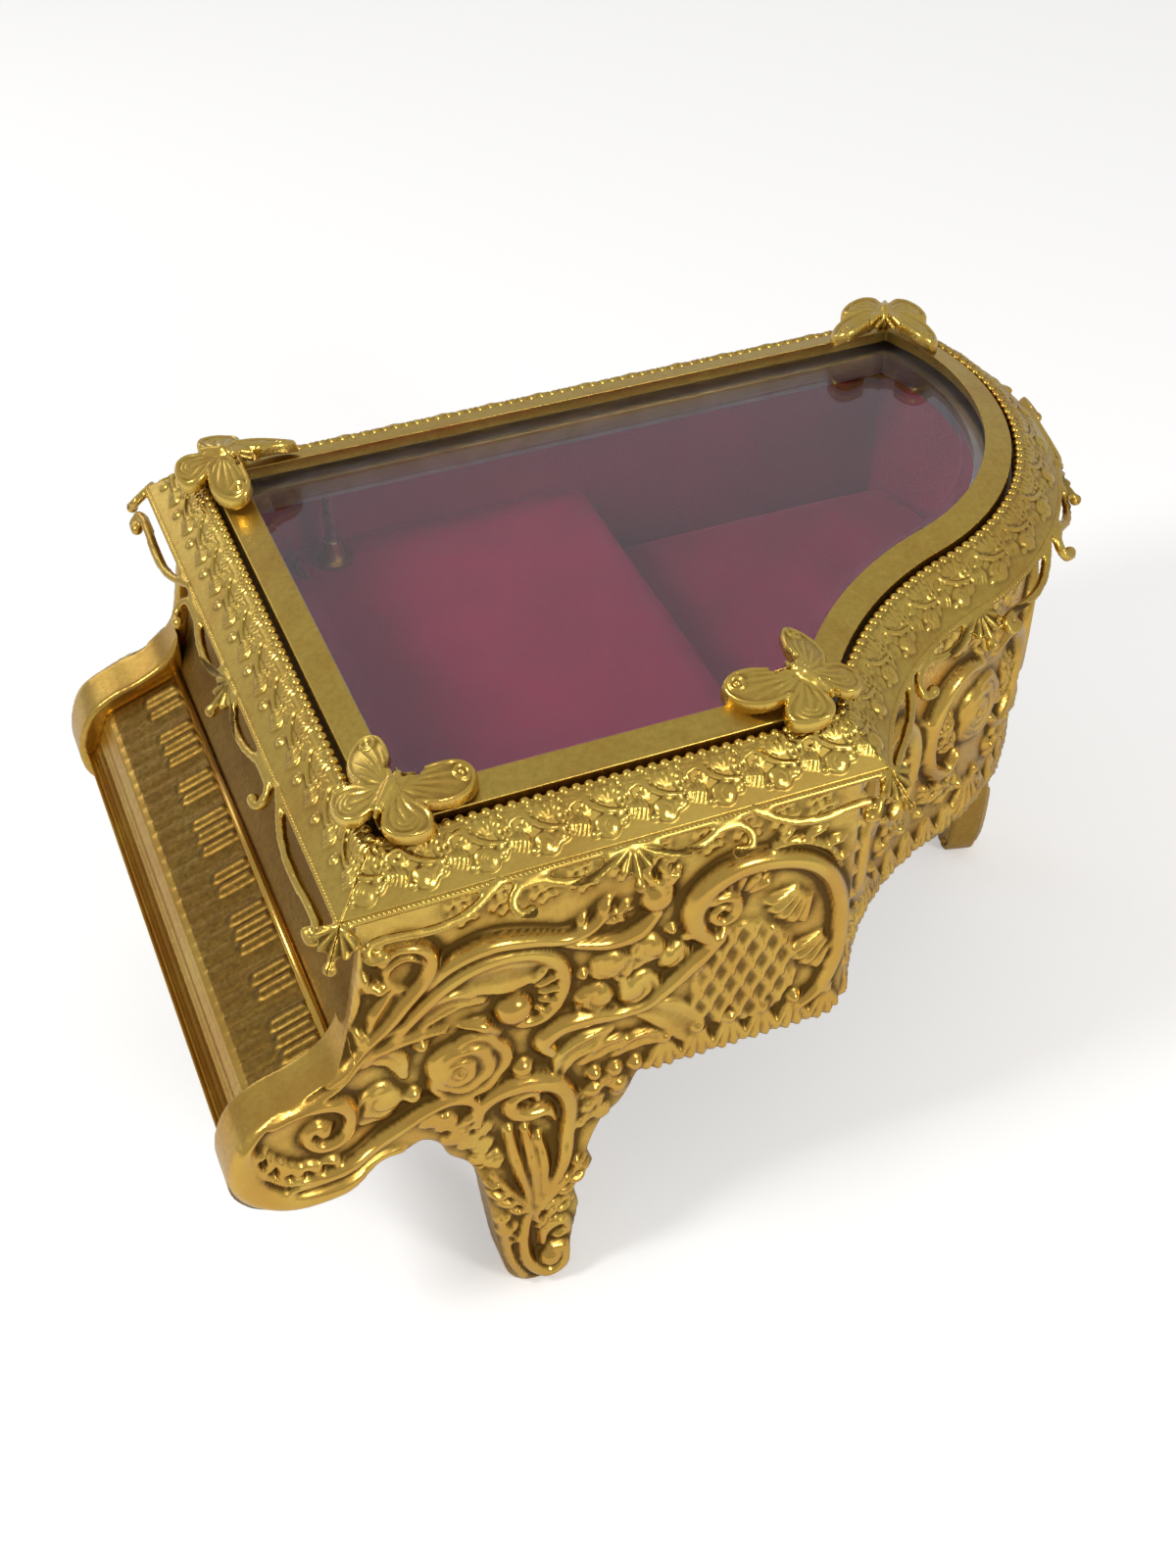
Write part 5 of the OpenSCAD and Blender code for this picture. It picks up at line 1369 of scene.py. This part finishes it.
class CASKET_OT_walls(bpy.types.Operator):
    """Cast side walls with arms, legs and their relief"""
    bl_idname = "casket.walls"
    bl_label = "Cast walls"

    def execute(self, context):
        relief = Relief(*TREBLE_SPAN, *UPRIGHT_SPAN)
        draw_side(relief, TREBLE_END)
        carve("treble_side_casting", "treble_side_panel", "case",
              Plate((0, -WALL_OUT, 0), (1, 0, 0), (0, 0, 1)), relief)
        relief = Relief(*SPINE_SPAN, *UPRIGHT_SPAN)
        draw_long_side(relief, SPINE_END)
        carve("spine_side_casting", "spine_side_panel", "case",
              Plate((0, WIDTH + WALL_OUT, 0), (1, 0, 0), (0, 0, 1), -1), relief, LONG_CELL)
        wall = Wall(bent_side(WALL_OUT))
        relief = Relief(-2, wall.u[-1] + 2, *UPRIGHT_SPAN)
        draw_bent_side(relief, leg_station(wall))
        carve("bent_side_casting", "bentside_panel", "case", wall, relief, LONG_CELL)
        return {"FINISHED"}


class CASKET_OT_borders(bpy.types.Operator):
    """Sloped borders of the lid with beads, rope, flowers and openwork fringe"""
    bl_idname = "casket.borders"
    bl_label = "Lid borders"

    def execute(self, context):
        for side, name in enumerate(("treble", "bentside", "spine", "keyboard")):
            casting = soften(name + "_border_casting", name + "_border", "lid", cell=0.39,
                             rounds=7)
            rib_palmettes(casting, side)
            line = border_line(side)
            relief = Relief(station(line, side, BORDER_OUT) - 1,
                            station(line, side + 1, BORDER_OUT) + 1, -1, 12, pitch=0.15)
            draw_border(relief, name != "keyboard")
            strip(name + "_border_flowers", side, relief)
            beading(name + "_border_beading", side)
        return {"FINISHED"}


# Middles of the butterflies lie this far inside the bezel's corners, in mm
BUTTERFLY_IN = 3.4


class CASKET_OT_butterflies(bpy.types.Operator):
    """Four cast butterflies over the corners of the glass"""
    bl_idname = "casket.butterflies"
    bl_label = "Butterflies"

    def execute(self, context):
        left, right = corner(0, -BUTTERFLY_IN), corner(1, -BUTTERFLY_IN)
        back_right, back_left = corner(2, -BUTTERFLY_IN), corner(3, -BUTTERFLY_IN)
        for name, place, heading in (
                ("front_left", left, 225), ("front_right", right + (-1.4, 0.4), -60),
                ("back_left", back_left, 135), ("back_right", back_right + (-1, 0), 62)):
            relief = Relief(-13, 11, -14, 14, pitch=0.12)
            draw_butterfly(relief)
            plate = butterfly_plate(place, heading)
            piece = carve("cast_butterfly_" + name, "butterfly_" + name, "lid", plate, relief,
                          cell=0.22, roll=0.6, softer=1, lip=0.9)
            fold_feelers(piece, plate)
        return {"FINISHED"}


# Lower edge of the bezel in mm
BEZEL_LOW = 120.8


class CASKET_OT_bezel(bpy.types.Operator):
    """Smooth bezel that holds the glass"""
    bl_idname = "casket.bezel"
    bl_label = "Bezel"

    def execute(self, context):
        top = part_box("glass_bezel")[1][2] / MM
        low, under = BEZEL_LOW, top - 1.9
        # up its outer face, up the slope to its rolled inner edge, and back underneath
        profile = [(0, low), (0, top - 0.2), (-5.7, top + 1.5), (-4.7, under), (-0.5, under),
                   (-0.5, low)]
        ring_shell("rolled_bezel", profile, "lid", "gilt_casting", ["glass_bezel"], edge_mm=0.5)
        # the light that reaches the velvet isn't dimmed by the glass
        frame["nodes"]["bevelled_glass"].visible_shadow = False
        return {"FINISHED"}


# Patina that years of handling left on the keys and the board behind them
KEY_DIRT, FALLBOARD_DIRT = 0.7, 0.62
# Upper edge of the key slip, which is cleaner than the keys, in mm up their slope
SLIP_TOP = 0.4


class CASKET_OT_keyboard(bpy.types.Operator):
    """Keys, reeded key slip and the ledge behind the keys"""
    bl_idname = "casket.keyboard"
    bl_label = "Keyboard"

    def execute(self, context):
        low, high = over_corner(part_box("keyboard_plate"))
        (x0, z0), (x1, z1) = KEY_FRONT, KEY_BACK
        plate = Plate((x0, low[1], z0), (0, 1, 0), (x1 - x0, 0, z1 - z0), -1)
        # left plain: the ridges and keys are the frame's own
        relief = Relief(-1, high[1] - low[1] + 1, -13, 18, pitch=0.2)
        piece = carve("keyboard_casting", "keyboard_plate", "case", plate, relief,
                      cell=0.38, roll=0.3, softer=1, dirt=KEY_DIRT)
        hollow = np.empty(len(piece.data.vertices))
        piece.data.attributes["hollow"].data.foreach_get("value", hollow)
        slip = plate.locate(over_corner(read_points(piece.data)))[1] < SLIP_TOP
        write_patina_and_shade(piece.data, np.where(slip, SIDE_DIRT, hollow))
        # round bar behind the keys
        ends = [(x1 - 0.2, y, z1 + 0.3) for y in (low[1], high[1])]
        add_bar(piece.data, *ends, r=1)
        soften("fallboard_casting", "fallboard", "case", cell=0.8, rounds=3, dirt=FALLBOARD_DIRT)
        return {"FINISHED"}


# Back and face of the wall lining, in mm outside the bezel
LINING_BACK, LINING_FACE = 3.6, 1.6


class CASKET_OT_velvet(bpy.types.Operator):
    """Velvet platform, wall lining and padded floor of the tail well"""
    bl_idname = "casket.velvet"
    bl_label = "Velvet"

    def execute(self, context):
        covered_board("velvet_covered_platform", "velvet_platform", cell=1.15, rounds=5,
                      waves=0.16)
        low, high = (v[2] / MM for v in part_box("wall_lining"))
        profile = [(LINING_BACK, low), (LINING_BACK, high), (LINING_FACE, high),
                   (LINING_FACE, low)]
        ring_shell("velvet_wall_lining", profile, "case", "velvet", ["wall_lining"], edge_mm=0.8)
        stuffed_pad("well_cushion", "well_pad", cell=2.6, pressure=4, swell=0.9)
        return {"FINISHED"}


class CASKET_PT_panel(bpy.types.Panel):
    """Steps that build the casket"""
    bl_idname = "CASKET_PT_panel"
    bl_label = "Piano casket"
    bl_space_type = "VIEW_3D"
    bl_region_type = "UI"
    bl_category = "Casket"

    def draw(self, context):
        for kind in OPERATORS:
            self.layout.operator(kind.bl_idname)


SETTINGS = {"casket_finish": FinishSettings, "casket_stage": StageSettings}
OPERATORS = (CASKET_OT_stage, CASKET_OT_finishes, CASKET_OT_walls, CASKET_OT_borders,
             CASKET_OT_butterflies, CASKET_OT_bezel, CASKET_OT_keyboard, CASKET_OT_velvet)


def register():
    """Adds the settings, the operators and the panel."""
    for kind in (*SETTINGS.values(), *OPERATORS, CASKET_PT_panel):
        bpy.utils.register_class(kind)
    for name, kind in SETTINGS.items():
        setattr(bpy.types.Scene, name, PointerProperty(type=kind))


def unregister():
    """Takes away what register added."""
    for name in SETTINGS:
        delattr(bpy.types.Scene, name)
    for kind in reversed((*SETTINGS.values(), *OPERATORS, CASKET_PT_panel)):
        bpy.utils.unregister_class(kind)


def main():
    """Builds the casket."""
    register()
    for kind in OPERATORS:
        group, name = kind.bl_idname.split(".")
        getattr(getattr(bpy.ops, group), name)()


if __name__ == "__main__":
    main()
